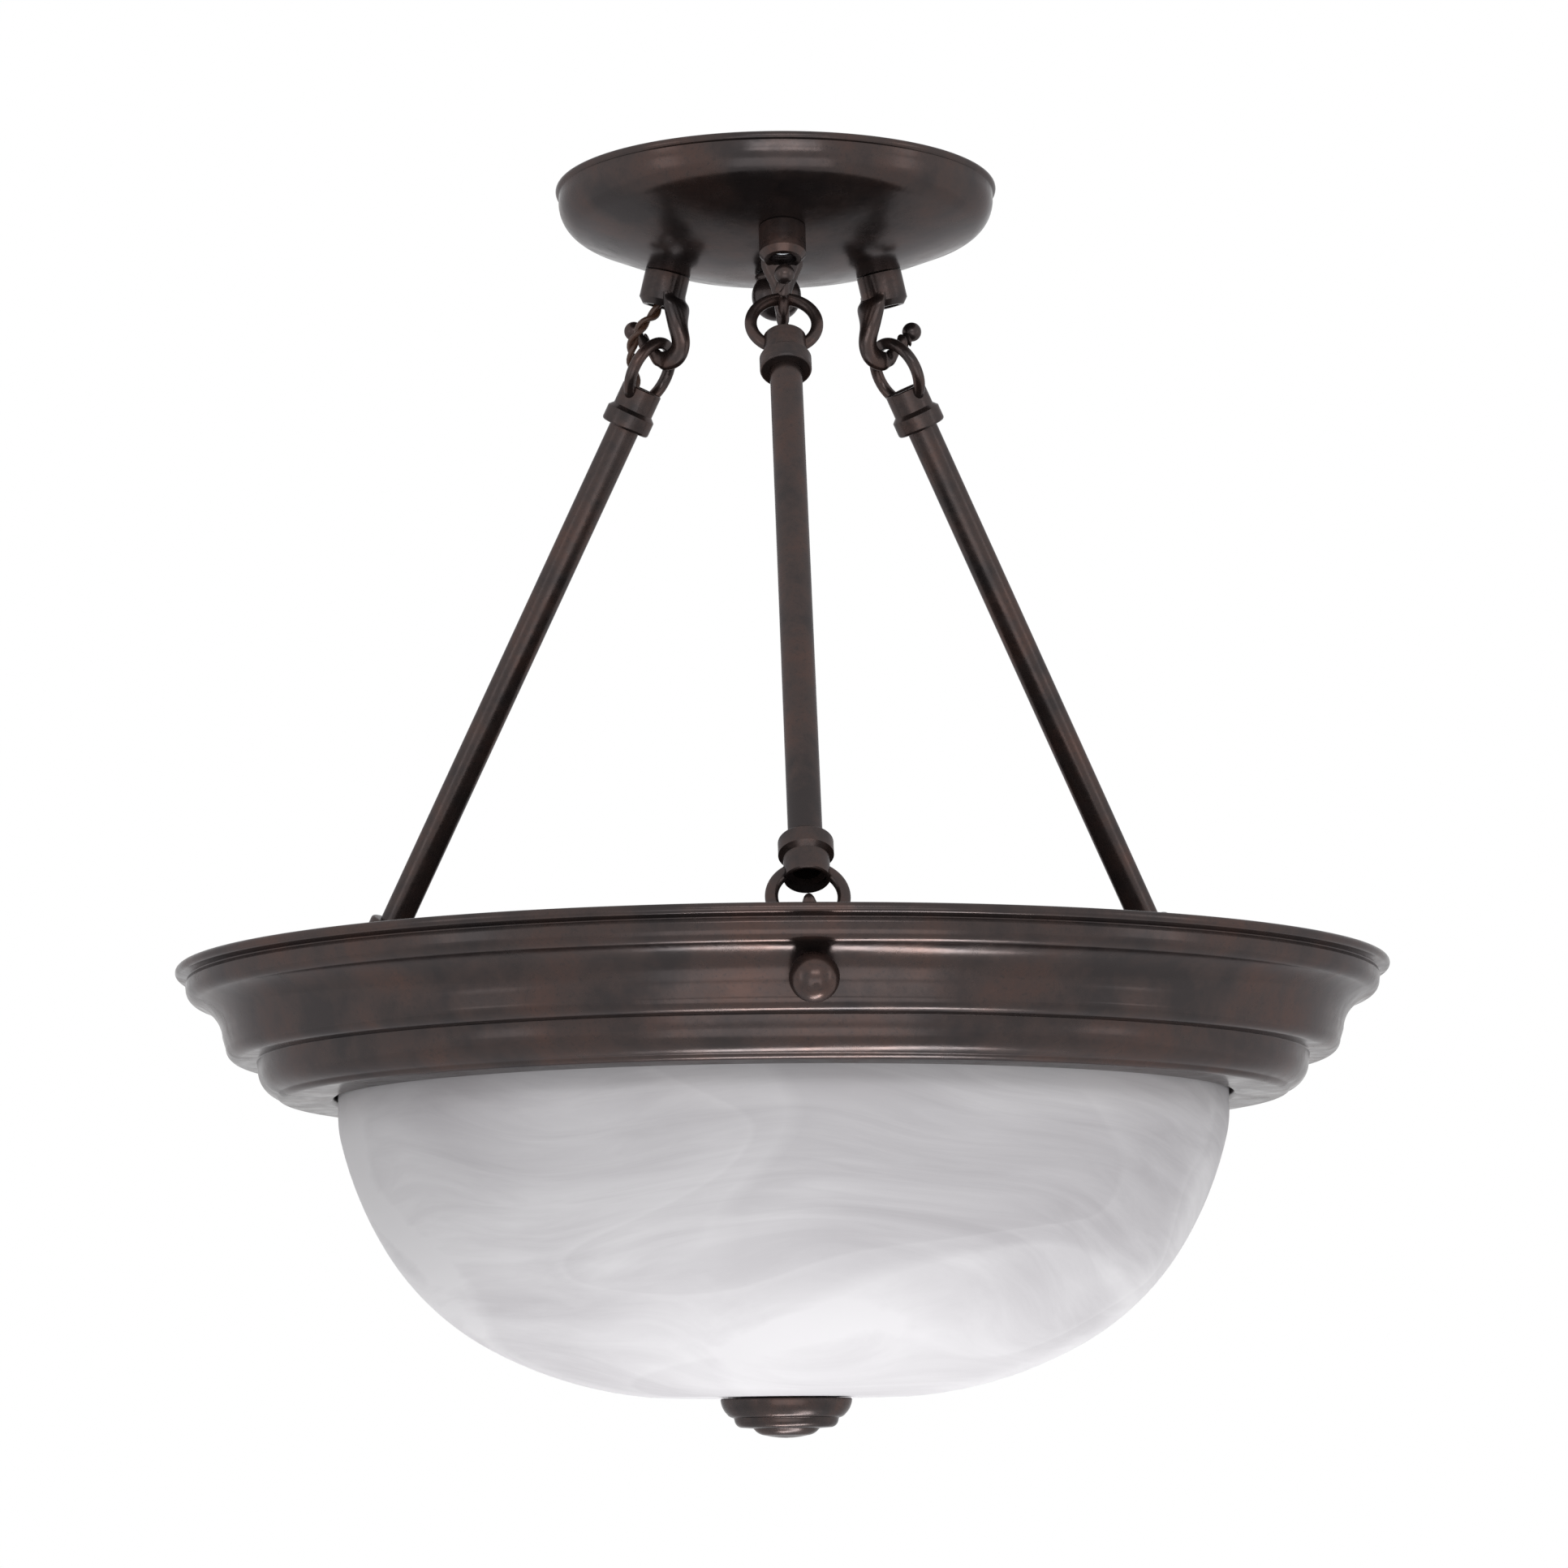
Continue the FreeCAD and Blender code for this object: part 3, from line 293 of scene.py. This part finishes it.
def add(tree, kind, links=None, **settings):
    """Adds a node with its settings, and the values or sockets that feed it."""
    node = tree.nodes.new(kind)
    for key, value in settings.items():
        setattr(node, key, value)
    for name, value in (links or {}).items():
        if isinstance(value, bpy.types.NodeSocket):
            tree.links.new(value, node.inputs[name])
        else:
            node.inputs[name].default_value = value
    return node


def shader(name):
    """A new material: its tree, its Principled node and the Object coordinates."""
    material = bpy.data.materials.get(name)
    if material:
        bpy.data.materials.remove(material)
    material = bpy.data.materials.new(name)
    material.use_nodes = True
    tree = material.node_tree
    principled = tree.nodes["Principled BSDF"]
    where = add(tree, "ShaderNodeTexCoord").outputs["Object"]
    return material, tree, principled, where


def seen(tree):
    """1 where the eye sees the surroundings: straight, in a gloss or through glass."""
    ray = add(tree, "ShaderNodeLightPath").outputs
    eye = add(
        tree, "ShaderNodeMath", {0: ray["Is Camera Ray"], 1: ray["Is Glossy Ray"]}, operation="MAXIMUM",
    ).outputs[0]
    return add(
        tree, "ShaderNodeMath", {0: eye, 1: ray["Is Transmission Ray"]}, operation="MAXIMUM",
    ).outputs[0]


def ramp(tree, factor, stops):
    """A colour ramp from (position, colour) stops."""
    node = add(tree, "ShaderNodeValToRGB", {"Fac": factor})
    while len(node.color_ramp.elements) < len(stops):
        node.color_ramp.elements.new(0.5)
    for element, (position, tone) in zip(node.color_ramp.elements, stops):
        element.position = position
        element.color = (*tone, 1.0)
    return node.outputs["Color"]


def bronze_paint(name, grain, gloss, bump):
    """Baked enamel over metal, sponged in two darker tones: a brown satin skin with soft, slightly
    cloudy highlights and a fine orange peel."""
    material, tree, principled, where = shader(name)
    tones = colours()
    clouds = add(
        tree, "ShaderNodeTexNoise", {"Vector": where, "Scale": grain, "Detail": 6.0, "Roughness": 0.62},
    ).outputs["Fac"]
    patches = add(
        tree, "ShaderNodeTexNoise", {"Vector": where, "Scale": grain * 3.1, "Detail": 4.0, "Roughness": 0.7},
    ).outputs["Fac"]
    base = ramp(tree, clouds, [(0.36, tones.bronze_dark), (0.5, tones.bronze), (0.66, tones.bronze_red)])
    # darker specks about 1 mm across
    specks = add(tree, "ShaderNodeTexNoise", {"Vector": where, "Scale": 900.0, "Detail": 2.0}).outputs["Fac"]
    mask = add(
        tree, "ShaderNodeMapRange", {"Value": specks, "From Min": 0.55, "From Max": 0.72, "To Max": 0.5},
    ).outputs["Result"]
    toned = add(
        tree, "ShaderNodeMix", {"A": base, "B": (*tones.bronze_dark, 1.0), "Factor": mask}, data_type="RGBA",
    )
    tree.links.new(toned.outputs[2], principled.inputs["Base Color"])
    shine = add(
        tree, "ShaderNodeMapRange",
        {"Value": patches, "From Min": 0.3, "From Max": 0.7, "To Min": gloss - 0.06, "To Max": gloss + 0.08},
    ).outputs["Result"]
    tree.links.new(shine, principled.inputs["Roughness"])
    peel = add(tree, "ShaderNodeTexNoise", {"Vector": where, "Scale": 420.0, "Detail": 3.0}).outputs["Fac"]
    raised = add(tree, "ShaderNodeBump", {"Height": peel, "Strength": bump, "Distance": 0.0001})
    tree.links.new(raised.outputs["Normal"], principled.inputs["Normal"])
    principled.inputs["Metallic"].default_value = 0.7
    principled.inputs["IOR"].default_value = 1.5
    principled.inputs["Specular Tint"].default_value = (0.4, 0.39, 0.4, 1.0)
    principled.inputs["Coat Weight"].default_value = 0.1
    principled.inputs["Coat Roughness"].default_value = 0.16
    return material


def alabaster_glass():
    """Blown glass cased in white, with greyer smoke drawn through it in long sweeps: milky and
    smooth, each sweep crisp along one edge, under a fire polished skin."""
    material, tree, principled, where = shader("Alabaster swirl glass")
    tones = colours()
    flat = add(
        tree, "ShaderNodeMapping", {"Vector": where, "Scale": (1.0, 1.0, 1.9), "Rotation": (0.15, -0.3, 0.4)},
    ).outputs["Vector"]
    # the gather is wound while soft, which bends every sweep
    bend = add(
        tree, "ShaderNodeTexNoise", {"Vector": flat, "Scale": 5.5, "Detail": 1.0, "Roughness": 0.4},
    ).outputs["Color"]
    centred = add(
        tree, "ShaderNodeVectorMath", {0: bend, 1: (0.5, 0.5, 0.5)}, operation="SUBTRACT",
    ).outputs["Vector"]
    wound = add(
        tree, "ShaderNodeVectorMath", {0: centred, 1: (0.22, 0.22, 0.22), 2: flat}, operation="MULTIPLY_ADD",
    ).outputs["Vector"]
    layers = add(
        tree, "ShaderNodeMapRange",
        {
            "Value": add(
                tree, "ShaderNodeTexNoise", {"Vector": wound, "Scale": 7.0, "Detail": 2.0, "Roughness": 0.5},
            ).outputs["Fac"],
            "From Min": 0.36, "From Max": 0.62, "To Min": 0.1, "To Max": 0.75,
        },
        interpolation_type="SMOOTHSTEP",
    ).outputs["Result"]
    # sweeps 30 to 80 mm apart, each with one crisp edge
    sweeps = ((3.0, 3.2, 0.34, 0.0), (4.4, 4.0, 0.26, 3.7), (8.0, 4.0, 0.16, 8.1))
    for scale, folds, strength, shift in sweeps:
        moved = add(
            tree, "ShaderNodeVectorMath", {0: wound, 1: (shift, shift, shift)}, operation="ADD",
        ).outputs["Vector"]
        slow = add(
            tree, "ShaderNodeTexNoise", {"Vector": moved, "Scale": scale, "Detail": 1.0, "Roughness": 0.3},
        ).outputs["Fac"]
        many = add(tree, "ShaderNodeMath", {0: slow, 1: folds}, operation="MULTIPLY").outputs[0]
        cut = add(tree, "ShaderNodeMath", {0: many}, operation="FRACT").outputs[0]
        veil = ramp(
            tree, cut,
            [
                (0.0, (0, 0, 0)),
                (0.05, (strength,) * 3),
                (0.16, (strength * 0.45,) * 3),
                (0.6, (0, 0, 0)),
            ],
        )
        layers = add(
            tree, "ShaderNodeMix", {"Factor": 1.0, "A": layers, "B": veil},
            data_type="RGBA", blend_type="ADD",
        ).outputs[2]
    # threads a millimetre or two wide that lie along the sweeps
    drawn = add(
        tree, "ShaderNodeMapping", {"Vector": wound, "Scale": (1.0, 1.0, 5.0)},
    ).outputs["Vector"]
    threads = add(
        tree, "ShaderNodeTexNoise",
        {"Vector": drawn, "Scale": 16.0, "Detail": 7.0, "Roughness": 0.62, "Distortion": 0.6},
    ).outputs["Fac"]
    faint = add(
        tree, "ShaderNodeMapRange",
        {"Value": threads, "From Min": 0.35, "From Max": 0.7, "To Min": -0.1, "To Max": 0.28},
    ).outputs["Result"]
    swirl = add(
        tree, "ShaderNodeMix", {"Factor": 1.0, "A": layers, "B": faint}, data_type="RGBA", blend_type="ADD",
    ).outputs[2]
    body = add(
        tree, "ShaderNodeMix",
        {"Factor": swirl, "A": (*tones.glass_vein, 1.0), "B": (*tones.glass_white, 1.0)}, data_type="RGBA",
    ).outputs[2]
    tree.links.new(body, principled.inputs["Base Color"])
    principled.inputs["Roughness"].default_value = 0.6
    principled.inputs["IOR"].default_value = 1.5
    principled.inputs["Subsurface Weight"].default_value = 0.25
    principled.inputs["Subsurface Radius"].default_value = (0.01, 0.01, 0.01)
    principled.inputs["Subsurface Scale"].default_value = 0.4
    return material


def plain(name, code, roughness, metallic=0.0, grain=250.0, vary=0.12, bump=0.1, pitch=0.0):
    """A simple solid finish whose tone and gloss vary a little over the surface, with thread
    rings a pitch apart, in millimetres, where one is given."""
    material, tree, principled, where = shader(name)
    tone = linear(code) if isinstance(code, str) else tuple(code)
    cloud = add(
        tree, "ShaderNodeTexNoise", {"Vector": where, "Scale": grain, "Detail": 4.0},
    ).outputs["Fac"]
    low = tuple(v * (1 - vary) for v in tone)
    high = tuple(min(1.0, v * (1 + vary)) for v in tone)
    tree.links.new(ramp(tree, cloud, [(0.35, low), (0.65, high)]), principled.inputs["Base Color"])
    gloss = add(
        tree, "ShaderNodeMapRange",
        {
            "Value": cloud, "From Min": 0.3, "From Max": 0.7,
            "To Min": roughness * 0.9, "To Max": roughness * 1.12,
        },
    ).outputs["Result"]
    tree.links.new(gloss, principled.inputs["Roughness"])
    raised = add(tree, "ShaderNodeBump", {"Height": cloud, "Strength": bump, "Distance": 0.0002})
    if pitch:
        rings = add(
            tree, "ShaderNodeTexWave", {"Vector": where, "Scale": math.tau / (20 * pitch * MM)},
            wave_type="BANDS", bands_direction="Z", wave_profile="TRI",
        ).outputs["Fac"]
        raised = add(
            tree, "ShaderNodeBump",
            {
                "Height": rings, "Strength": 0.9, "Distance": 0.4 * pitch * MM,
                "Normal": raised.outputs["Normal"],
            },
        )
    tree.links.new(raised.outputs["Normal"], principled.inputs["Normal"])
    principled.inputs["Metallic"].default_value = metallic
    return material


FINISHES = {}


def finish(name):
    """The material of that name, made once."""
    if name not in FINISHES:
        makers = {
            # thin paint over spun steel: broad soft clouds and the smoothest skin
            "sheet": lambda: bronze_paint("Baked bronze paint on spun steel", 34.0, 0.22, 0.3),
            # the same paint over sand castings: tighter clouds and a faint pitted grain
            "cast": lambda: bronze_paint("Baked bronze paint on castings", 70.0, 0.28, 0.8),
            # the same paint over turned steel: even, between the other two in gloss
            "turned": lambda: bronze_paint("Baked bronze paint on turned tube", 60.0, 0.26, 0.4),
            "alabaster": alabaster_glass,
            # electroplated zinc: bluish grey, faintly mottled
            "zinc": lambda: plain("Zinc plated steel", "#b9bcc0", 0.34, 1.0, grain=400.0),
            # rolled threads: bright rings a millimetre apart over the same plating
            "thread": lambda: plain(
                "Zinc plated threaded tube", "#b4b7bc", 0.32, 1.0, grain=400.0, pitch=1.0,
            ),
            # dyed green plating on a small screw head
            "green": lambda: plain("Green ground screw", "#1f7a3a", 0.3, 0.6),
            # soft extruded vinyl: a dull even brown
            "jacket": lambda: plain(
                "Brown vinyl lead", colours().lead_brown, 0.45, grain=700.0, bump=0.2,
            ),
            # moulded and slightly translucent: bright, with a soft gloss
            "orange": lambda: plain("Orange polypropylene connector", "#d9661f", 0.38),
            # pressed thermoset: deep black with a hard gloss
            "phenolic": lambda: plain("Black phenolic holder", "#18171a", 0.28, grain=500.0),
            # rolled and pressed: warm yellow, fairly bright
            "brass": lambda: plain("Pressed brass", "#c9a45c", 0.25, 1.0, grain=300.0),
            # moulded rubber: dull and almost black
            "rubber": lambda: plain("Black rubber", "#17161a", 0.6, grain=600.0, bump=0.3),
            # drawn thin: pale and bright
            "aluminium": lambda: plain("Drawn aluminium cap", "#d5d6d8", 0.3, 1.0, grain=500.0),
            # white silica coat inside clear glass: an even white
            "lamp": lambda: plain(
                "Silica coated lamp glass", "#f4f2ee", 0.35, grain=30.0, vary=0.02, bump=0.0,
            ),
        }
        FINISHES[name] = makers[name]()
    return FINISHES[name]


def smooth_group():
    """Geometry nodes that join a node's loose triangles for the eye and shade its round faces smooth."""
    group = bpy.data.node_groups.new("Smooth casting", "GeometryNodeTree")
    group.interface.new_socket("Geometry", in_out="INPUT", socket_type="NodeSocketGeometry")
    group.interface.new_socket("Geometry", in_out="OUTPUT", socket_type="NodeSocketGeometry")
    given = add(group, "NodeGroupInput").outputs[0]
    joined = add(group, "GeometryNodeMergeByDistance", {"Geometry": given, "Distance": 1e-6}).outputs[0]
    even = add(group, "GeometryNodeSetShadeSmooth", {"Geometry": joined, "Shade Smooth": True}, domain="FACE")
    angle = add(group, "GeometryNodeInputMeshEdgeAngle").outputs["Unsigned Angle"]
    sharp = add(group, "FunctionNodeCompare", {"A": angle, "B": SHARP_EDGE}, operation="GREATER_THAN")
    edged = add(
        group, "GeometryNodeSetShadeSmooth",
        {"Geometry": even.outputs[0], "Selection": sharp.outputs[0], "Shade Smooth": False}, domain="EDGE",
    )
    add(group, "NodeGroupOutput", {0: edged.outputs[0]})
    return group


def dress(names, material):
    """Gives CAD nodes a finish and smooth shading."""
    group = bpy.data.node_groups.get("Smooth casting") or smooth_group()
    for name in names:
        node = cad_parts[name]
        node.data.materials.clear()
        node.data.materials.append(material)
        smooth = node.modifiers.new("Smooth casting", "NODES")
        smooth.node_group = group


# --- operators -----------------------------------------------------------------------------


class CEILING_OT_stage(bpy.types.Operator):
    """Makes the floor, the lights, the white surroundings and the camera."""

    bl_idname = "ceiling_light.stage"
    bl_label = "Stage"

    def execute(self, context):
        scene = context.scene
        scene.view_settings.view_transform = "Standard"
        # camera: below the pan, a little to the left of the front arm, looking up
        camera = bpy.data.objects.new("Camera", bpy.data.cameras.new("Camera"))
        scene.collection.objects.link(camera)
        camera.data.sensor_width = SENSOR_WIDTH
        camera.data.lens = FOCAL_PIXELS / PHOTO_WIDTH * SENSOR_WIDTH
        camera.data.clip_end = 50.0
        across = CAMERA_DISTANCE * math.sin(CAMERA_SIDE)
        away = -CAMERA_DISTANCE * math.cos(CAMERA_SIDE)
        camera.matrix_world = (
            Matrix.Translation((across, away, CAMERA_HEIGHT))
            @ Matrix.Rotation(CAMERA_SIDE + CAMERA_AIM, 4, "Z")
            @ Matrix.Rotation(math.pi / 2 + CAMERA_RISE, 4, "X")
            @ Matrix.Rotation(CAMERA_ROLL, 4, "Z")
        )
        scene.camera = camera
        work = bmesh.new()
        # a room's height below the ceiling
        bmesh.ops.create_grid(work, x_segments=1, y_segments=1, size=4.0)
        bmesh.ops.translate(work, vec=(0, 0, -2.4), verts=work.verts)
        floor_mesh = bpy.data.meshes.new("floor")
        work.to_mesh(floor_mesh)
        work.free()
        floor = bpy.data.objects.new("floor", floor_mesh)
        scene.collection.objects.link(floor)
        # matt white paper, shown to the eye as plain white
        material, tree, principled, _ = shader("Matt white paper")
        principled.inputs["Base Color"].default_value = (0.8, 0.8, 0.8, 1.0)
        principled.inputs["Roughness"].default_value = 0.9
        glow = add(tree, "ShaderNodeMath", {0: seen(tree), 1: 0.55}, operation="MULTIPLY")
        principled.inputs["Emission Color"].default_value = (1, 1, 1, 1)
        tree.links.new(glow.outputs[0], principled.inputs["Emission Strength"])
        floor_mesh.materials.append(material)
        world = bpy.data.worlds.new("White surroundings")
        scene.world = world
        world.use_nodes = True
        tree = world.node_tree
        tree.nodes.clear()
        level = add(tree, "ShaderNodeMapRange", {"Value": seen(tree), "To Min": 0.37, "To Max": 1.0})
        light = add(tree, "ShaderNodeBackground", {"Color": (1, 1, 1, 1), "Strength": level.outputs[0]})
        add(tree, "ShaderNodeOutputWorld", {"Surface": light.outputs[0]})
        for name, place, aim, wide, high, power in (
            ("Softbox below", (0.1, 0.09, -1.1), (0, -0.08, -0.3), 0.5, 0.18, 3.6),
            ("Low softbox", (0.0, -1.5, -1.05), (0, 0, -0.3), 1.6, 0.9, 5.2),
            ("Front softbox", (0.05, -2.4, 0.36), (0, 0, -0.1), 1.5, 0.4, 8.0),
            ("Left softbox", (-1.6, -0.9, -0.2), (0, 0, -0.2), 0.4, 0.9, 1.2),
            ("Right softbox", (1.6, -0.7, -0.1), (0, 0, -0.2), 0.4, 0.9, 1.2),
        ):
            lamp = bpy.data.lights.new(name, "AREA")
            lamp.shape = "RECTANGLE"
            lamp.size = wide
            lamp.size_y = high
            lamp.energy = power
            holder = bpy.data.objects.new(name, lamp)
            scene.collection.objects.link(holder)
            holder.visible_camera = False
            holder.location = place
            holder.rotation_euler = (Vector(aim) - Vector(place)).to_track_quat("-Z", "Y").to_euler()
        return {"FINISHED"}


class CEILING_OT_canopy(bpy.types.Operator):
    """Spins the canopy and dresses what screws it to the outlet box."""

    bl_idname = "ceiling_light.canopy"
    bl_label = "Canopy"

    def execute(self, context):
        s = sizes()
        radius = s.canopy_radius / MM
        depth = s.canopy_depth / MM
        dome = s.canopy_dome / MM
        corner = 11.0
        bead = 1.35
        top = dome - depth
        across = radius - corner
        gap = dome - corner
        height = top - math.sqrt(gap ** 2 - across ** 2)
        blend = (across * dome / gap, top - (top - height) * dome / gap)
        path = outline(
            [
                (radius, -2 * bead + 0.1),
                (radius, height),
                (*blend, -corner),
                (TUBE_HOLE, top - math.sqrt(dome ** 2 - TUBE_HOLE ** 2), -dome),
            ]
        )
        section = sheet_section(path, SHEET_GAUGE)
        section += outline([(radius - SHEET_GAUGE, 0), (radius, 0), (radius, -2 * bead + 0.1, -bead)])[:-1]
        shell = spun(section, 160, 0.25)
        piece("canopy_shell", shell, finish("sheet"), "canopy", "canopy")
        dress(("crossbar", "crossbar_nut", "hook_nuts"), finish("zinc"))
        dress(("centre_nipple", "hook_nipples"), finish("thread"))
        dress(("ground_screw",), finish("green"))
        ball = s.knob_radius / MM
        seat = -depth - 0.3
        low = -44.2
        shoulder = seat - 1.9
        section = outline(
            [
                (4.95, seat),
                (7.0, seat),
                (7.0, seat - 0.9),
                (math.sqrt(ball ** 2 - (shoulder - low - ball) ** 2), shoulder, -1.2),
                (0, low, -ball),
                (0, low + 4.0),
                (4.95, low + 5.0),
            ]
        )
        turned = spun(section, 64, 0.2)
        piece("canopy_ball", turned, finish("turned"), "knob", "canopy_knob")
        return {"FINISHED"}


class CEILING_OT_hooks(bpy.types.Operator):
    """Dresses the cast hooks and the ring loops."""

    bl_idname = "ceiling_light.hooks"
    bl_label = "Hooks and loops"

    def execute(self, context):
        for side in ARMS:
            dress(("ceiling_hook_" + side, "pan_hook_" + side), finish("cast"))
            dress(("upper_loop_" + side, "lower_loop_" + side), finish("cast"))
        return {"FINISHED"}


class CEILING_OT_rods(bpy.types.Operator):
    """Dresses the rods."""

    bl_idname = "ceiling_light.rods"
    bl_label = "Rods"

    def execute(self, context):
        dress(["rod_" + side for side in ARMS], finish("turned"))
        return {"FINISHED"}


class CEILING_OT_pan(bpy.types.Operator):
    """Spins the stepped pan with its rolled rim, and dresses its ball knobs."""

    bl_idname = "ceiling_light.pan"
    bl_label = "Pan"

    def execute(self, context):
        s = sizes()
        rim = -s.pan_drop / MM
        wide = s.pan_radius / MM
        foot = -s.pan_depth / MM
        mouth = s.pan_mouth / MM
        floor = -31.0
        path = outline(
            [
                (wide - 3.7, -3.7),
                (wide - 3.2, -5.2),
                (wide - 3.4, -7.0),
                (wide - 6.8, -11.0, -4.3),
                (wide - 15.1, -22.0, 12.6),
                (wide - 16.1, -25.2),
                (wide - 20.1, -29.4, -4.4),
                (wide - 25.9, -29.4),
                (wide - 26.3, -32.6),
                (wide - 32.1, foot + 1.6, -8.6),
                (wide - 34.7, foot, -3.4),
                (mouth + 1.6, foot),
                (mouth, foot + 1.6, -1.6),
                (mouth, floor),
                (TUBE_HOLE, floor),
            ]
        )
        section = sheet_section(path, SHEET_GAUGE)
        section += outline(
            [
                (wide - 4.9, -1.5),
                (wide - 3.4, 0, -1.5),
                (wide - 1.5, 0),
                (wide, -1.5, -1.5),
                (wide - 1.5, -3.0, -1.5),
            ]
        )
        lowered = [(radius, height + rim) for radius, height in section]
        shell = spun(lowered, 224, 0.3)
        piece("pan_shell", shell, finish("sheet"), "pan", "pan")
        dress(("pan_knobs",), finish("turned"))
        dress(("grommet",), finish("rubber"))
        dress(("stem_nuts", "holder_bracket"), finish("zinc"))
        dress(("centre_stem",), finish("thread"))
        return {"FINISHED"}


class CEILING_OT_glass(bpy.types.Operator):
    """Blows the alabaster glass bowl and turns the finial that holds it up."""

    bl_idname = "ceiling_light.glass"
    bl_label = "Glass bowl and finial"

    def execute(self, context):
        s = sizes()
        rim = -s.pan_drop / MM
        radius = s.glass_radius / MM
        corners = [(radius, -31.4), (radius, -46.5)]
        heading = 0.0
        here = Vector(corners[-1])
        for bend, ahead in ((36.0, 13.5), (118.0, 31.6), (88.0, 61.2), (131.0, 84.0), (60.0, 90.0)):
            before = math.radians(heading)
            after = math.radians(ahead)
            here -= Vector((math.cos(before) - math.cos(after), math.sin(after) - math.sin(before))) * bend
            corners.append((here.x, here.y, -bend))
            heading = ahead
        foot = here.y
        corners.append((6.4, foot))
        path = outline(corners, 2.5)
        section = [(r, h + rim) for r, h in sheet_section(path, s.glass_wall / MM)]
        blown = spun(section, 192, 1.3)
        piece("alabaster_bowl", blown, finish("alabaster"), "glass", "glass_bowl")
        dress(("glass_washer",), finish("rubber"))
        wide = s.finial_radius / MM
        top = foot - 0.4
        recess = foot - 0.02 - 1.6 - 0.4
        tip = wide - 14.2
        section = outline(
            [
                (4.98, recess),
                (14.6, recess),
                (14.6, top),
                (wide - 0.5, top),
                (wide, top - 0.6, -0.6),
                (wide - 2.0, top - 4.9, -7.0),
                (wide - 4.2, top - 6.2, -3.4),
                (wide - 4.4, top - 7.0),
                (wide - 6.4, top - 9.2, -2.7),
                (wide - 10.4, top - 9.5),
                (wide - 11.0, top - 10.2),
                (tip, top - 11.7, -5.2),
                (0, top - 12.5, -(tip ** 2 + 0.64) / 1.6),
                (0, top - 9.0),
                (4.98, top - 8.2),
            ]
        )
        section = [(r, h + rim) for r, h in section]
        turned = spun(section, 96, 0.2)
        piece("finial_turning", turned, finish("turned"), "finial", "finial")
        return {"FINISHED"}


class CEILING_OT_lamps(bpy.types.Operator):
    """Dresses the lamp holders and the lamps."""

    bl_idname = "ceiling_light.lamps"
    bl_label = "Lamps"

    def execute(self, context):
        for side in LAMPS:
            dress(("lamp_holder_" + side,), finish("phenolic"))
            dress(("lamp_cap_" + side,), finish("aluminium"))
            dress(("lamp_glass_" + side,), finish("lamp"))
        dress(("holder_shells", "holder_contacts"), finish("brass"))
        return {"FINISHED"}


class CEILING_OT_wiring(bpy.types.Operator):
    """Twists the twin lead that runs from the outlet box through the left rod to the lamps."""

    bl_idname = "ceiling_light.wiring"
    bl_label = "Wiring"

    def execute(self, context):
        turn = Matrix.Rotation(math.radians(LEAD_ARM_DEGREES), 3, "Z")
        # routes in the plane of the left arm, in millimetres: outward, sideways, height
        runs = (
            (
                "canopy_twin_lead", "canopy", "canopy_lead",
                (
                    (41.93, 0, -29.06), (38.37, 0, -15.83), (40.12, 6.0, -11.2), (33.91, 17.27, -13.0),
                    (30.91, 22.46, -13.0),
                ),
            ),
            (
                "arm_twin_lead", "arm_left", "arm_lead",
                (
                    (42.11, 0, -29.74), (44.0, 0.6, -36.79), (47.6, 5.6, -41.2), (52.0, 6.2, -50.0),
                    (51.24, 1.9, -57.69), (54.98, 0.2, -69.79), (71.29, 0, -99.63), (144.4, 0, -231.52),
                    (152.59, 1.5, -249.01), (143.5, 7.5, -260.2), (133.0, 4.0, -273.7),
                ),
            ),
            (
                "pan_twin_lead", "pan", "pan_lead",
                (
                    (132.52, 3.84, -274.32), (129.69, 2.9, -277.95), (124.0, 0, -279.7), (124.0, 0, -301.7),
                    (38.0, 0, -301.7), (38.0, 0, -307.7),
                ),
            ),
        )
        for name, body, node, route in runs:
            points = [turn @ Vector(point) * MM for point in route]
            piece(name, twisted_pair(points, 0.95, 13.0), finish("jacket"), body, node)
        dress(("holder_leads",), finish("jacket"))
        dress(("canopy_connectors", "pan_connectors"), finish("orange"))
        return {"FINISHED"}


OPERATORS = (
    CEILING_OT_stage,
    CEILING_OT_canopy,
    CEILING_OT_hooks,
    CEILING_OT_rods,
    CEILING_OT_pan,
    CEILING_OT_glass,
    CEILING_OT_lamps,
    CEILING_OT_wiring,
)


class CEILING_PT_panel(bpy.types.Panel):
    """Lists the pieces of the light and its sizes."""

    bl_label = "Ceiling light"
    bl_space_type = "VIEW_3D"
    bl_region_type = "UI"
    bl_category = "Ceiling light"

    def draw(self, context):
        for operator in OPERATORS:
            self.layout.operator(operator.bl_idname)
        for group in (context.scene.ceiling_light_sizes, context.scene.ceiling_light_colours):
            for name in group.bl_rna.properties.keys():
                if name not in ("rna_type", "name"):
                    self.layout.prop(group, name)


CLASSES = (LightSizes, LightColours, *OPERATORS, CEILING_PT_panel)


def register():
    for part in CLASSES:
        bpy.utils.register_class(part)
    bpy.types.Scene.ceiling_light_sizes = bpy.props.PointerProperty(type=LightSizes)
    bpy.types.Scene.ceiling_light_colours = bpy.props.PointerProperty(type=LightColours)


def unregister():
    del bpy.types.Scene.ceiling_light_colours
    del bpy.types.Scene.ceiling_light_sizes
    for part in reversed(CLASSES):
        bpy.utils.unregister_class(part)


def main():
    register()
    for operator in OPERATORS:
        category, name = operator.bl_idname.split(".")
        getattr(getattr(bpy.ops, category), name)()


if __name__ == "__main__":
    main()
